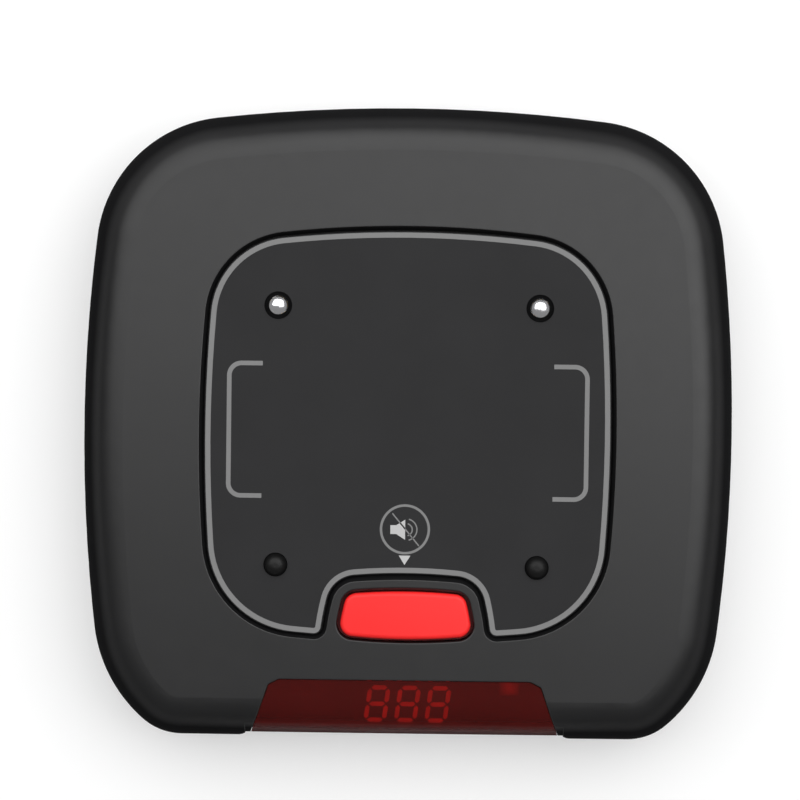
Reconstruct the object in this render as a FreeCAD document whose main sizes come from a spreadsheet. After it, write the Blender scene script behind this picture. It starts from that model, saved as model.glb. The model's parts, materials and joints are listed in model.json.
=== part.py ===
import FreeCAD, Part
import math
import os
import re
import Sketcher

# Guest pager for a counter: a flat square puck with a red button, a lit display and charging pins.
# Millimetres. X is across, +Y points to the rear, +Z is up. The origin is on the table, under the
# middle of the casing.

os.makedirs("parts", exist_ok=True)
doc = FreeCAD.newDocument("guest_pager")
sheet = doc.addObject("Spreadsheet::Sheet", "dims")

SIZES = {
    # Casing outline: long arcs on the sides and the rear, and a front cut off flat
    "case_width": 105.9,
    "case_depth": 102.9,
    "case_height": 20.5,
    "widest_share": 0.484,
    "side_arc_radius": 272.0,
    "rear_arc_radius": 268.0,
    "rear_corner_radius": 22.2,
    "front_corner_radius": 24.0,
    "front_flat_cut": 3.5,
    "front_blend_radius": 9.8,
    "rim_radius": 7.0,
    "crown_radius": 1350.0,
    "base_edge_radius": 4.0,
    # Shells
    "wall": 2.0,
    "floor_thickness": 1.8,
    "ceiling_thickness": 2.6,
    "floor_corner_radius": 2.5,
    "parting_height": 8.5,
    "parting_bevel": 0.25,
    "lip_height": 1.1,
    "lip_clearance": 0.05,
    "overrun": 2.0,
    "bite": 0.3,
    "pick_slack": 0.02,
    # Face panel in its recess
    "panel_width": 65.95,
    "panel_rear": 31.5,
    "panel_front": -34.6,
    "panel_widest": -1.7,
    "panel_side_radius": 250.0,
    "panel_rear_radius": 182.0,
    "panel_front_radius": 210.0,
    "panel_rear_corner": 13.3,
    "panel_front_corner": 15.2,
    "panel_tip_radius": 1.3,
    "panel_drop": 0.9,
    "panel_thickness": 1.0,
    "panel_edge_rounding": 0.12,
    "panel_gap": 0.15,
    "recess_draft": 24.0,
    "adhesive_thickness": 0.15,
    "adhesive_margin": 0.7,
    "shelf_thickness": 1.6,
    "shelf_margin": 3.4,
    # Mute button and its tongue
    "button_centre": -30.8,
    "button_depth": 7.8,
    "button_mid_width": 20.75,
    "button_front_radius": 100.0,
    "button_rear_radius": 90.0,
    "button_side_radius": 40.0,
    "button_side_drop": 7.6,
    "button_corner_radius": 2.1,
    "button_proud": 0.1,
    "button_crown_radius": 130.0,
    "button_edge_radius": 0.7,
    "button_gap": 0.55,
    "button_flange_width": 1.0,
    "button_flange_thickness": 1.2,
    "button_flange_gap": 0.1,
    "button_rib_width": 4.6,
    "pocket_rounding": 0.2,
    "notch_margin": 2.85,
    # Display window over the front edge
    "bay_width": 52.0,
    "bay_depth": 0.6,
    "bay_rounding": 3.0,
    "bay_fade": 0.2,
    "window_front_width": 50.4,
    "window_shoulder_width": 44.5,
    "window_rear_width": 41.0,
    "window_rear": -41.4,
    "window_bevel_depth": 0.9,
    "window_corner_radius": 0.6,
    "window_wall": 1.0,
    "window_clearance": 0.12,
    # Display module and its digits
    "digit_height": 6.1,
    "digit_width": 3.7,
    "digit_pitch": 4.98,
    "digit_slant": 0.8,
    "segment_width": 0.72,
    "segment_gap": 0.2,
    "segment_thickness": 0.3,
    "module_width": 17.4,
    "module_depth": 6.8,
    "module_height": 4.6,
    "module_standoff": 0.2,
    "module_across": 0.5,
    "module_centre": -45.97,
    "module_pin_diameter": 0.5,
    "module_pin_pitch": 2.54,
    "module_pin_rows": 4.4,
    "module_pin_proud": 0.8,
    # Main board
    "board_width": 66.0,
    "board_front": -49.0,
    "board_rear": 30.6,
    "board_bottom": 8.0,
    "board_thickness": 1.2,
    "board_corner_radius": 3.0,
    "board_screw_across": 29.5,
    "board_screw_front": -29.4,
    "board_screw_rear": 26.6,
    "board_screw_diameter": 2.0,
    "board_screw_head": 3.6,
    "board_screw_head_height": 1.3,
    "board_screw_length": 4.6,
    "board_post_diameter": 5.0,
    # Case screws and their bosses
    "case_screw_across": 42.0,
    "case_screw_front": -29.4,
    "case_screw_rear": 28.6,
    "case_screw_diameter": 2.6,
    "case_screw_head": 4.6,
    "case_screw_head_height": 1.8,
    "case_screw_length": 8.0,
    "case_screw_seat": 4.0,
    "boss_diameter": 6.4,
    "boss_joint": 9.2,
    "screw_clearance": 0.15,
    "head_rounding_share": 0.33,
    "cross_width": 0.8,
    "cross_reach": 2.4,
    "cross_depth": 0.7,
    # Feet, contacts underneath and the sound slots
    "foot_diameter": 9.0,
    "foot_height": 0.8,
    "foot_seat": 0.5,
    "foot_rounding": 0.3,
    "foot_across": 36.0,
    "foot_front": -39.4,
    "foot_rear": 38.0,
    "slot_length": 8.0,
    "slot_width": 1.2,
    "slot_pitch": 2.6,
    "label_width": 44.0,
    "label_depth": 26.0,
    "label_recess": 0.3,
    "label_corner": 3.0,
    "label_centre": -1.4,
    # Charging pins, their barrels and springs, and the stacking posts
    "contact_across": 21.2,
    "contact_rear": 19.3,
    "post_front": -22.8,
    "contact_proud": 0.7,
    "post_proud": 0.5,
    "pin_diameter": 2.85,
    "pin_dome_radius": 2.0,
    "pin_flange_diameter": 3.5,
    "pin_flange_height": 0.7,
    "pin_clearance": 0.08,
    "pin_hole_clearance": 0.1,
    "well_diameter": 4.5,
    "barrel_diameter": 4.7,
    "barrel_base": 0.8,
    "barrel_lip": 0.7,
    "spring_room": 3.4,
    "spring_wire": 0.4,
    "spring_diameter": 2.6,
    "spring_pitch": 1.0,
    "post_diameter": 3.7,
    "post_seat": 1.0,
    "post_dome_radius": 1.5,
    "post_clearance": 0.1,
    "stud_head": 5.0,
    "stud_head_height": 0.7,
    "stud_recess": 0.3,
    "stud_stem": 2.0,
    "stud_clearance": 0.06,
    "dimple_diameter": 4.8,
    "dimple_depth": 0.9,
    # Tactile switch
    "switch_width": 6.2,
    "switch_body_height": 3.3,
    "switch_floor": 1.0,
    "switch_plate_thickness": 0.3,
    "switch_stem_diameter": 3.4,
    "switch_bore_clearance": 0.08,
    "switch_height": 5.0,
    "switch_stem_foot": 2.1,
    "dome_thickness": 0.12,
    "dome_rise": 0.5,
    "switch_leg_width": 0.7,
    "switch_leg_reach": 0.8,
    "switch_leg_thickness": 0.3,
    "switch_leg_spread": 4.5,
    # Battery
    "cell_length": 40.0,
    "cell_width": 30.0,
    "cell_thickness": 4.5,
    "cell_rounding": 1.6,
    "cell_across": -7.0,
    "cell_middle": 2.6,
    "tape_thickness": 0.25,
    "tape_length": 30.0,
    "tape_width": 12.0,
    "rib_height": 3.0,
    "rib_thickness": 1.2,
    "rib_gap": 0.3,
    "rib_length": 5.0,
    "rib_spread": 8.0,
    # Vibration motor on the right
    "motor_across": 41.6,
    "motor_height": 9.0,
    "motor_diameter": 7.0,
    "motor_length": 16.0,
    "motor_front": -11.4,
    "motor_nose_diameter": 3.0,
    "motor_nose_length": 1.2,
    "shaft_diameter": 1.0,
    "shaft_clearance": 0.03,
    "shaft_proud": 7.2,
    "weight_radius": 4.2,
    "weight_length": 4.6,
    "weight_gap": 0.8,
    "weight_hub": 1.3,
    "boot_thickness": 0.9,
    "boot_length": 11.0,
    "cradle_wall": 1.4,
    "cradle_length": 9.0,
    "cradle_start": 1.0,
    # Buzzer on the left
    "buzzer_across": -41.4,
    "buzzer_middle": -1.4,
    "buzzer_diameter": 13.0,
    "buzzer_height": 6.4,
    "buzzer_mouth": 4.0,
    "buzzer_disc_diameter": 11.0,
    "buzzer_disc_thickness": 0.4,
    "buzzer_wall": 0.8,
    # Parts on the board
    "chip_width": 7.0,
    "chip_height": 1.4,
    "chip_lead_width": 0.3,
    "chip_lead_reach": 1.0,
    "chip_lead_thickness": 0.2,
    "chip_lead_pitch": 0.8,
    "chip_across": 6.0,
    "chip_middle": 6.6,
    "receiver_width": 13.0,
    "receiver_depth": 11.0,
    "receiver_height": 2.2,
    "receiver_across": -16.0,
    "receiver_middle": 4.6,
    "receiver_wall": 0.25,
    "crystal_length": 9.0,
    "crystal_width": 3.6,
    "crystal_height": 3.0,
    "crystal_rounding": 1.6,
    "crystal_across": 6.0,
    "crystal_middle": -5.4,
    "part_length": 2.0,
    "part_width": 1.25,
    "part_height": 0.7,
    "part_column_pitch": 4.5,
    "part_row_pitch": 3.2,
    "part_across": -22.0,
    "part_front": -13.4,
    "led_length": 3.2,
    "led_width": 2.8,
    "led_height": 1.9,
    "led_rounding": 0.3,
    "led_across": 17.2,
    "led_middle": -43.3,
    "antenna_wire": 0.6,
    "antenna_diameter": 3.6,
    "antenna_pitch": 1.5,
    "antenna_turns": 9.0,
    "antenna_across": -7.0,
    "antenna_middle": 25.6,
    "antenna_lift": 0.05,
    "socket_length": 6.0,
    "socket_width": 4.4,
    "socket_height": 3.6,
    "socket_across": 27.0,
    "socket_middle": 2.6,
    "socket_wall": 0.6,
    "plug_clearance": 0.08,
    "plug_length": 5.4,
    # Leads
    "lead_diameter": 1.1,
    "lead_gap": 1.5,
    "lead_dip": 1.1,
    "lead_landing": 2.2,
    "cell_lead_run": 5.5,
    "turn_run": 4.4,
    "turn_gap": 2.2,
    "motor_lead_run": 8.8,
    "motor_lead_rise": 3.3,
    "buzzer_lead_rise": 4.4,
    "lead_bend_share": 0.45,
}

for row, (alias, number) in enumerate(SIZES.items(), start=1):
    sheet.set(f"A{row}", alias)
    sheet.set(f"B{row}", str(number))
    sheet.setAlias(f"B{row}", alias)
doc.recompute()

nodes = {}
X_AXIS = FreeCAD.Vector(1, 0, 0)
Y_AXIS = FreeCAD.Vector(0, 1, 0)
Z_AXIS = FreeCAD.Vector(0, 0, 1)


def formula(text):
    """Points every size named in a formula at its cell of the sheet."""
    return re.sub(r"[A-Za-z_]\w*", lambda word: "dims." + word[0] if word[0] in SIZES else word[0], str(text))


def value(text):
    return float(sheet.evalExpression(formula(text)))


def tie(item, name, text):
    item.setExpression(name, formula(text))


def place(item, x="0", y="0", z="0"):
    for axis, text in zip("xyz", (x, y, z)):
        tie(item, f"Placement.Base.{axis}", text)
    return item


def node(item, name):
    """Names a finished sub-part, which is exported under that name."""
    item.Label = name
    nodes[name] = item
    return item


# Outlines are closed chains of arcs and straight lines that meet in tangents. An edge keeps its
# centre when the outline is drawn smaller or larger, so one chain serves a wall and its seat.
def arc(centre, radius, bend=1, tie_x=None, tie_y=None):
    """An arc of the chain: bend 1 swells outwards and -1 inwards; a tie fixes its centre."""
    return {"centre": centre, "radius": radius, "bend": bend, "tie_x": tie_x, "tie_y": tie_y}


def carrier(x, y, radius, bend=1):
    """An arc whose centre is known from named sizes."""
    return arc((value(x), value(y)), radius, bend, x, y)


def front_line(y):
    """A straight edge along the front of an outline."""
    return {"line_y": y}


def mirrored(edge):
    """The same edge on the other side of the middle plane."""
    if "line_y" in edge:
        return edge
    tie_x = None if edge["tie_x"] is None else f"-({edge['tie_x']})"
    return arc((-edge["centre"][0], edge["centre"][1]), edge["radius"], edge["bend"], tie_x, edge["tie_y"])


def meet(first, second, near):
    """The point near a guess that is at a set distance from each of two points or lines."""
    x, y = near
    for _ in range(60):
        rows = []
        for locus in (first, second):
            if "line_y" in locus:
                rows.append((0.0, 1.0, y - locus["line_y"]))
            else:
                away = math.hypot(x - locus["x"], y - locus["y"])
                rows.append(((x - locus["x"]) / away, (y - locus["y"]) / away, away - locus["distance"]))
        (a, b, off_first), (c, d, off_second) = rows
        spread = a * d - b * c
        x -= (d * off_first - b * off_second) / spread
        y -= (a * off_second - c * off_first) / spread
    return x, y


def inside(edge, radius):
    """Where the centre of an arc lies that touches an edge from inside the outline."""
    if "line_y" in edge:
        return {"line_y": value(edge["line_y"]) + value(radius)}
    distance = value(edge["radius"]) - edge["bend"] * value(radius)
    return {"x": edge["centre"][0], "y": edge["centre"][1], "distance": distance}


def corner(first, second, radius, near, tie_y=None):
    """A rounded corner between two edges of the chain."""
    return arc(meet(inside(first, radius), inside(second, radius), near), radius, 1, None, tie_y)


def joint_angles(edge, other):
    """The direction from each edge's centre to the point where the two edges meet."""
    if "line_y" in other:
        return -edge["bend"] * math.pi / 2, None
    if "line_y" in edge:
        return None, -other["bend"] * math.pi / 2
    (x, y), (u, v) = edge["centre"], other["centre"]
    towards = math.atan2(v - y, u - x)
    if edge["bend"] != other["bend"]:
        return towards, towards + math.pi
    if value(edge["radius"]) < value(other["radius"]):
        towards += math.pi
    return towards, towards


def on_plane(body, name, plane, height="0"):
    """A new sketch on one of the body's own origin planes, moved along the plane's normal."""
    sketch = body.newObject("Sketcher::SketchObject", name)
    support = next(item for item in body.Origin.OriginFeatures if item.Role == plane)
    sketch.AttachmentSupport = [(support, "")]
    sketch.MapMode = "FlatFace"
    tie(sketch, "AttachmentOffset.Base.z", height)
    return sketch


def held(sketch, constraint, text=None):
    """Adds a constraint, tied to a formula where it has a size."""
    index = sketch.addConstraint(constraint)
    if text is not None:
        sketch.setExpression(f"Constraints[{index}]", formula(text))


def draw_chain(sketch, edges, inset="0"):
    """Draws a closed chain, moved inwards by an inset, with every edge tied to its sizes."""
    count = len(edges)
    angles = [joint_angles(edges[i], edges[(i + 1) % count]) for i in range(count)]
    sizes = [
        f"({edge['radius']}) - ({inset}) * {edge['bend']}" if "radius" in edge else None for edge in edges
    ]

    def end_point(index):
        edge, other = edges[index], edges[(index + 1) % count]
        angle, other_angle = angles[index]
        if "radius" not in edge:
            edge, angle, index = other, other_angle, (index + 1) % count
        reach = value(sizes[index])
        return FreeCAD.Vector(
            edge["centre"][0] + reach * math.cos(angle), edge["centre"][1] + reach * math.sin(angle), 0
        )

    first_id = sketch.GeometryCount
    for i, edge in enumerate(edges):
        if "radius" not in edge:
            sketch.addGeometry(Part.LineSegment(end_point(i - 1), end_point(i)))
            continue
        begin, finish = angles[i - 1][1], angles[i][0]
        if edge["bend"] < 0:
            begin, finish = finish, begin
        while finish <= begin:
            finish += 2 * math.pi
        while finish - begin > 2 * math.pi:
            finish -= 2 * math.pi
        circle = Part.Circle(FreeCAD.Vector(*edge["centre"], 0), Z_AXIS, value(sizes[i]))
        sketch.addGeometry(Part.ArcOfCircle(circle, begin, finish))
    for i, edge in enumerate(edges):
        item, following = first_id + i, first_id + (i + 1) % count
        leaving = 1 if edge.get("bend") == -1 else 2
        arriving = 2 if edges[(i + 1) % count].get("bend") == -1 else 1
        held(sketch, Sketcher.Constraint("Tangent", item, leaving, following, arriving))
        if "radius" not in edge:
            held(sketch, Sketcher.Constraint("Horizontal", item))
            low = f"({edge['line_y']}) + ({inset})"
            held(sketch, Sketcher.Constraint("DistanceY", item, 1, value(low)), low)
            continue
        held(sketch, Sketcher.Constraint("Radius", item, value(sizes[i])), sizes[i])
        if edge["tie_x"] is not None:
            held(sketch, Sketcher.Constraint("DistanceX", item, 3, value(edge["tie_x"])), edge["tie_x"])
        if edge["tie_y"] is not None:
            held(sketch, Sketcher.Constraint("DistanceY", item, 3, value(edge["tie_y"])), edge["tie_y"])


def draw_polygon(sketch, points):
    """Draws a closed outline of straight lines, with every corner tied to its place."""
    first_id = sketch.GeometryCount
    places = [FreeCAD.Vector(value(x), value(y), 0) for x, y in points]
    for i, place_here in enumerate(places):
        sketch.addGeometry(Part.LineSegment(place_here, places[(i + 1) % len(places)]))
    for i, (x, y) in enumerate(points):
        item, following = first_id + i, first_id + (i + 1) % len(points)
        held(sketch, Sketcher.Constraint("Coincident", item, 2, following, 1))
        held(sketch, Sketcher.Constraint("DistanceX", item, 1, value(x)), x)
        held(sketch, Sketcher.Constraint("DistanceY", item, 1, value(y)), y)


def draw_circle(sketch, x, y, radius):
    item = sketch.addGeometry(Part.Circle(FreeCAD.Vector(value(x), value(y), 0), Z_AXIS, value(radius)))
    held(sketch, Sketcher.Constraint("Radius", item, value(radius)), radius)
    held(sketch, Sketcher.Constraint("DistanceX", item, 3, value(x)), x)
    held(sketch, Sketcher.Constraint("DistanceY", item, 3, value(y)), y)


def new_body(name):
    return doc.addObject("PartDesign::Body", name)


def pad(body, sketch, length, downwards=False):
    feature = body.newObject("PartDesign::Pad", sketch.Name + "_pad")
    feature.Profile = sketch
    feature.Reversed = downwards
    tie(feature, "Length", length)
    doc.recompute()
    return feature


def pocket(body, sketch, depth, upwards=True, draft="0"):
    """Cuts a sketch out of the body and makes sure that the cut took something away."""
    before = body.Shape.Volume
    feature = body.newObject("PartDesign::Pocket", sketch.Name + "_pocket")
    feature.Profile = sketch
    feature.Reversed = upwards
    tie(feature, "Length", depth)
    tie(feature, "TaperAngle", draft)
    doc.recompute()
    if body.Shape.Volume >= before:
        raise ValueError(f"{feature.Name} takes nothing away")
    return feature


def turned(body, sketch, cut=False):
    """Turns a sketch on the XZ plane once round the vertical axis."""
    before = body.Shape.Volume if cut else 0.0
    kind = "Groove" if cut else "Revolution"
    feature = body.newObject(f"PartDesign::{kind}", f"{sketch.Name}_{kind.lower()}")
    feature.Profile = sketch
    feature.ReferenceAxis = (sketch, ["V_Axis"])
    feature.Angle = 360.0
    doc.recompute()
    if cut and body.Shape.Volume >= before:
        raise ValueError(f"{feature.Name} takes nothing away")
    return feature


def edges_where(feature, test):
    return [f"Edge{i}" for i, edge in enumerate(feature.Shape.Edges, start=1) if test(edge.BoundBox)]


def rounded(body, feature, radius, test, name):
    """Rounds the edges of a body whose boxes pass a test."""
    fillet = body.newObject("PartDesign::Fillet", name)
    fillet.Base = (feature, edges_where(feature, test))
    tie(fillet, "Radius", radius)
    doc.recompute()
    return fillet


def turned_piece(name, profile, roundings=()):
    """A turned sub-part from its half profile; each rounding gives a height and a radius."""
    body = new_body(name)
    sketch = on_plane(body, name + "_profile", "XZ_Plane")
    draw_polygon(sketch, profile)
    feature = turned(body, sketch)
    for i, (height, radius) in enumerate(roundings):
        feature = rounded(body, feature, radius, flat_at(height), f"{name}_rounding_{i}")
    return body


def block(name, length, width, height, x="0", y="0", z="0"):
    """A box centred on x and y, with its underside at z."""
    item = doc.addObject("Part::Box", name)
    tie(item, "Length", length)
    tie(item, "Width", width)
    tie(item, "Height", height)
    return place(item, f"({x}) - ({length}) / 2", f"({y}) - ({width}) / 2", z)


def rod(name, radius, height, x="0", y="0", z="0", along=Z_AXIS):
    """A round bar that starts at x, y, z."""
    item = doc.addObject("Part::Cylinder", name)
    tie(item, "Radius", radius)
    tie(item, "Height", height)
    item.Placement.Rotation = FreeCAD.Rotation(Z_AXIS, along)
    return place(item, x, y, z)


def cut(name, base, *tools):
    item = doc.addObject("Part::Cut", name)
    item.Base = base
    item.Tool = tools[0] if len(tools) == 1 else fused(name + "_tools", *tools)
    return item


def fused(name, *pieces):
    item = doc.addObject("Part::MultiFuse", name)
    item.Shapes = list(pieces)
    return item


def group(name, *pieces):
    item = doc.addObject("Part::Compound", name)
    item.Links = list(pieces)
    return item


def copies(name, template, places, upside_down=False):
    """A group of like pieces, one at each place."""
    links = []
    for i, here in enumerate(places):
        link = doc.addObject("App::Link", f"{name}_{i}")
        link.LinkedObject = template
        if upside_down:
            link.Placement.Rotation = FreeCAD.Rotation(X_AXIS, 180)
        links.append(place(link, *here))
    return group(name, *links)


def smoothed(name, base, radius, test):
    """Rounds the edges of a plain solid whose boxes pass a test."""
    doc.recompute()
    item = doc.addObject("Part::Fillet", name)
    item.Base = base
    size = value(radius)
    item.Edges = [(i, size, size) for i, edge in enumerate(base.Shape.Edges, start=1) if test(edge.BoundBox)]
    return item


def corners_of(across, front, rear):
    return [(f"{side}{across}", y) for y in (front, rear) for side in ("-", "")]


def centred(count):
    """Steps for a row of pieces that lies evenly about its middle."""
    return [i - (count - 1) / 2 for i in range(count)]


# Heights that follow from the sizes
CASE_FRONT = "case_depth / 2"
WIDEST = "case_depth * (widest_share - 0.5)"
PANEL_TOP = "case_height - panel_drop"
SHELF_TOP = f"{PANEL_TOP} - panel_thickness - adhesive_thickness"
SHELF_UNDER = f"{SHELF_TOP} - shelf_thickness"
CEILING = "case_height - ceiling_thickness"
FLOOR = "foot_height + floor_thickness"
BOARD_TOP = "board_bottom + board_thickness"


def case_chain():
    """The casing seen from above: long arcs, rounded corners and a flat front."""
    side = carrier("case_width / 2 - side_arc_radius", WIDEST, "side_arc_radius")
    rear = carrier("0", "case_depth / 2 - rear_arc_radius", "rear_arc_radius")
    flat = front_line(f"-{CASE_FRONT}")
    corner_y = f"front_corner_radius - front_flat_cut - {CASE_FRONT}"
    rear_corner = corner(rear, side, "rear_corner_radius", (value("case_width / 3"), value("case_depth / 3")))
    low_point = {"line_y": value(corner_y)}
    near = (value("case_width / 3"), value(corner_y))
    front_corner = arc(
        meet(inside(side, "front_corner_radius"), low_point, near), "front_corner_radius", 1, None, corner_y
    )
    blend = corner(front_corner, flat, "front_blend_radius", (value("case_width / 2"), near[1]))
    return [
        rear,
        mirrored(rear_corner),
        mirrored(side),
        mirrored(front_corner),
        mirrored(blend),
        flat,
        blend,
        front_corner,
        side,
        rear_corner,
    ]


def button_edges():
    """The four long arcs of the button and its two right corners."""
    rear = carrier("0", "button_centre + button_depth / 2 - button_rear_radius", "button_rear_radius")
    front = carrier("0", "button_centre - button_depth / 2 + button_front_radius", "button_front_radius")
    side_x = "button_mid_width / 2 - sqrt(button_side_radius ^ 2 - button_side_drop ^ 2)"
    side = carrier(side_x, "button_centre - button_side_drop", "button_side_radius")
    half_x, half_y = value("button_mid_width / 3"), value("button_depth / 3")
    middle = value("button_centre")
    rear_corner = corner(rear, side, "button_corner_radius", (half_x, middle + half_y))
    front_corner = corner(front, side, "button_corner_radius", (half_x, middle - half_y))
    return rear, rear_corner, side, front_corner, front


def button_chain():
    rear, rear_corner, side, front_corner, front = button_edges()
    return [
        rear,
        mirrored(rear_corner),
        mirrored(side),
        mirrored(front_corner),
        front,
        front_corner,
        side,
        rear_corner,
    ]


def grown_inwards(edge):
    """An edge of the button seen from the panel, whose notch stands off it by a margin."""
    return arc(edge["centre"], f"{edge['radius']} + notch_margin", -1, edge["tie_x"], edge["tie_y"])


def panel_outer_edges():
    rear = carrier("0", "panel_rear - panel_rear_radius", "panel_rear_radius")
    front = carrier("0", "panel_front + panel_front_radius", "panel_front_radius")
    side = carrier("panel_width / 2 - panel_side_radius", "panel_widest", "panel_side_radius")
    half = value("panel_width / 3")
    rear_corner = corner(rear, side, "panel_rear_corner", (half, half))
    front_corner = corner(front, side, "panel_front_corner", (half, -half))
    return rear, rear_corner, side, front_corner, front


def shelf_chain():
    """The panel's outline without its notch."""
    rear, rear_corner, side, front_corner, front = panel_outer_edges()
    return [
        rear,
        mirrored(rear_corner),
        mirrored(side),
        mirrored(front_corner),
        front,
        front_corner,
        side,
        rear_corner,
    ]


def panel_chain():
    """The panel: a rounded square with a notch for the button at its front edge."""
    rear, rear_corner, side, front_corner, front = panel_outer_edges()
    notch_rear, notch_corner, notch_side = (grown_inwards(edge) for edge in button_edges()[:3])
    tip_at = (value("button_mid_width / 2 + notch_margin"), value("panel_front"))
    tip = corner(front, notch_side, "panel_tip_radius", tip_at)
    return [
        rear,
        mirrored(rear_corner),
        mirrored(side),
        mirrored(front_corner),
        front,
        mirrored(tip),
        mirrored(notch_side),
        mirrored(notch_corner),
        notch_rear,
        notch_corner,
        notch_side,
        tip,
        front,
        front_corner,
        side,
        rear_corner,
    ]


def pillow(body, name, low, inset="0", drop="0"):
    """The casing's outer form above a height: crowned on top and rounded all round its rim."""
    outline = on_plane(body, name + "_outline", "XY_Plane", low)
    draw_chain(outline, case_chain(), inset)
    pad(body, outline, f"case_height + overrun - ({low})")
    crown = on_plane(body, name + "_crown", "XZ_Plane")
    draw_crown(crown, f"case_height - ({drop})", "crown_radius", "case_width", f"({drop}) + overrun * 2")
    crowned = turned(body, crown, cut=True)
    apex = value(f"case_height - ({drop})")
    level = apex - value("rim_radius / 2")
    pole = apex - value("pick_slack")
    return rounded(
        body,
        crowned,
        f"rim_radius - ({inset})",
        lambda box: box.ZMin > level and box.ZMax < pole,
        name + "_rim",
    )


def taken_from(body, tool):
    """Cuts one body out of another."""
    before = body.Shape.Volume
    feature = body.newObject("PartDesign::Boolean", tool.Name + "_cut")
    feature.Type = "Cut"
    feature.setObjects([tool])
    doc.recompute()
    if body.Shape.Volume >= before:
        raise ValueError(f"{tool.Name} takes nothing away")
    return feature


def hollow_out(body, name, low, inset, drop):
    """Cuts a smaller form of the casing out of a body, so that a wall of even thickness is left."""
    tool = new_body(name)
    pillow(tool, name + "_form", low, inset, drop)
    return taken_from(body, tool)


def draw_crown(sketch, top, radius, reach, over):
    """The space above a shallow dome, as a half profile for a groove."""
    edge_z = f"{top} - {radius} + sqrt({radius} ^ 2 - ({reach}) ^ 2)"
    lift = f"{top} + {over}"
    turns = (("0", top), (reach, edge_z), (reach, lift), ("0", lift))
    apex, rim, high, low = (FreeCAD.Vector(value(x), value(z), 0) for x, z in turns)
    circle = Part.Circle(FreeCAD.Vector(0, value(f"{top} - {radius}"), 0), Z_AXIS, value(radius))
    lean = math.atan2(rim.y - circle.Center.y, rim.x)
    sketch.addGeometry(Part.ArcOfCircle(circle, lean, math.pi / 2))
    sketch.addGeometry(Part.LineSegment(rim, high))
    sketch.addGeometry(Part.LineSegment(high, low))
    sketch.addGeometry(Part.LineSegment(low, apex))
    for first, pos, second, other in ((0, 1, 1, 1), (1, 2, 2, 1), (2, 2, 3, 1), (3, 2, 0, 2)):
        held(sketch, Sketcher.Constraint("Coincident", first, pos, second, other))
    held(sketch, Sketcher.Constraint("Vertical", 1))
    held(sketch, Sketcher.Constraint("Horizontal", 2))
    held(sketch, Sketcher.Constraint("DistanceX", 0, 3, 0.0), "0")
    held(sketch, Sketcher.Constraint("DistanceY", 0, 2, value(top)), top)
    held(sketch, Sketcher.Constraint("DistanceX", 3, 1, 0.0), "0")
    held(sketch, Sketcher.Constraint("Radius", 0, value(radius)), radius)
    held(sketch, Sketcher.Constraint("DistanceX", 1, 1, value(reach)), reach)
    held(sketch, Sketcher.Constraint("DistanceY", 2, 1, value(lift)), lift)
    held(sketch, Sketcher.Constraint("Vertical", 3))


def draw_bay(sketch):
    """The shallow bay in the front of both covers, with rounded shoulders beside the window."""
    front = f"-{CASE_FRONT}"
    centre_x = "bay_width / 2 + sqrt(bay_rounding ^ 2 - (bay_rounding - bay_depth) ^ 2)"
    centre_y = f"{front} + bay_rounding"
    back = f"{front} + bay_depth"
    out = f"{front} - overrun"
    radius = value("bay_rounding")
    lean = math.atan2(value(back) - value(centre_y), value("bay_width / 2") - value(centre_x))
    corners = [
        FreeCAD.Vector(value(x), value(y), 0)
        for x, y in (
            ("-bay_width / 2", back),
            ("bay_width / 2", back),
            (centre_x, front),
            (centre_x, out),
            (f"-({centre_x})", out),
            (f"-({centre_x})", front),
        )
    ]
    sketch.addGeometry(Part.LineSegment(corners[0], corners[1]))
    for side, begin, finish in ((1, lean + 2 * math.pi, 1.5 * math.pi), (-1, 1.5 * math.pi, math.pi - lean)):
        centre = FreeCAD.Vector(side * value(centre_x), value(centre_y), 0)
        sketch.addGeometry(Part.ArcOfCircle(Part.Circle(centre, Z_AXIS, radius), begin, finish))
        item = sketch.GeometryCount - 1
        held(sketch, Sketcher.Constraint("Radius", item, radius), "bay_rounding")
        held(sketch, Sketcher.Constraint("DistanceX", item, 3, centre.x), f"{side} * ({centre_x})")
        held(sketch, Sketcher.Constraint("DistanceY", item, 3, centre.y), centre_y)
    for first, second in ((2, 3), (3, 4), (4, 5)):
        sketch.addGeometry(Part.LineSegment(corners[first], corners[second]))
    for first, pos, second, other in (
        (0, 2, 1, 1), (1, 2, 3, 1), (3, 2, 4, 1), (4, 2, 5, 1), (5, 2, 2, 1), (2, 2, 0, 1)
    ):
        held(sketch, Sketcher.Constraint("Coincident", first, pos, second, other))
    held(sketch, Sketcher.Constraint("DistanceY", 0, 1, value(back)), back)
    held(sketch, Sketcher.Constraint("DistanceY", 0, 2, value(back)), back)
    for item, side, low in ((3, 1, 2), (5, -1, 1)):
        edge_x = f"{side} * ({centre_x})"
        held(sketch, Sketcher.Constraint("Vertical", item))
        held(sketch, Sketcher.Constraint("DistanceX", item, low, value(edge_x)), edge_x)
        held(sketch, Sketcher.Constraint("DistanceY", item, low, value(out)), out)


def sink_front(body, name):
    """Sets the middle of the front back a little, fading out where the rim turns into the crown."""
    tool = new_body(name)
    front = on_plane(tool, name + "_front", "XY_Plane", "parting_height")
    drawn_box(front, "bay_width", f"-{CASE_FRONT} - overrun", f"rim_radius - {CASE_FRONT}")
    pad(tool, front, "case_height")
    hollow_out(tool, name + "Core", "parting_height - overrun", "bay_depth", "-bay_fade")
    return taken_from(body, tool)


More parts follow.
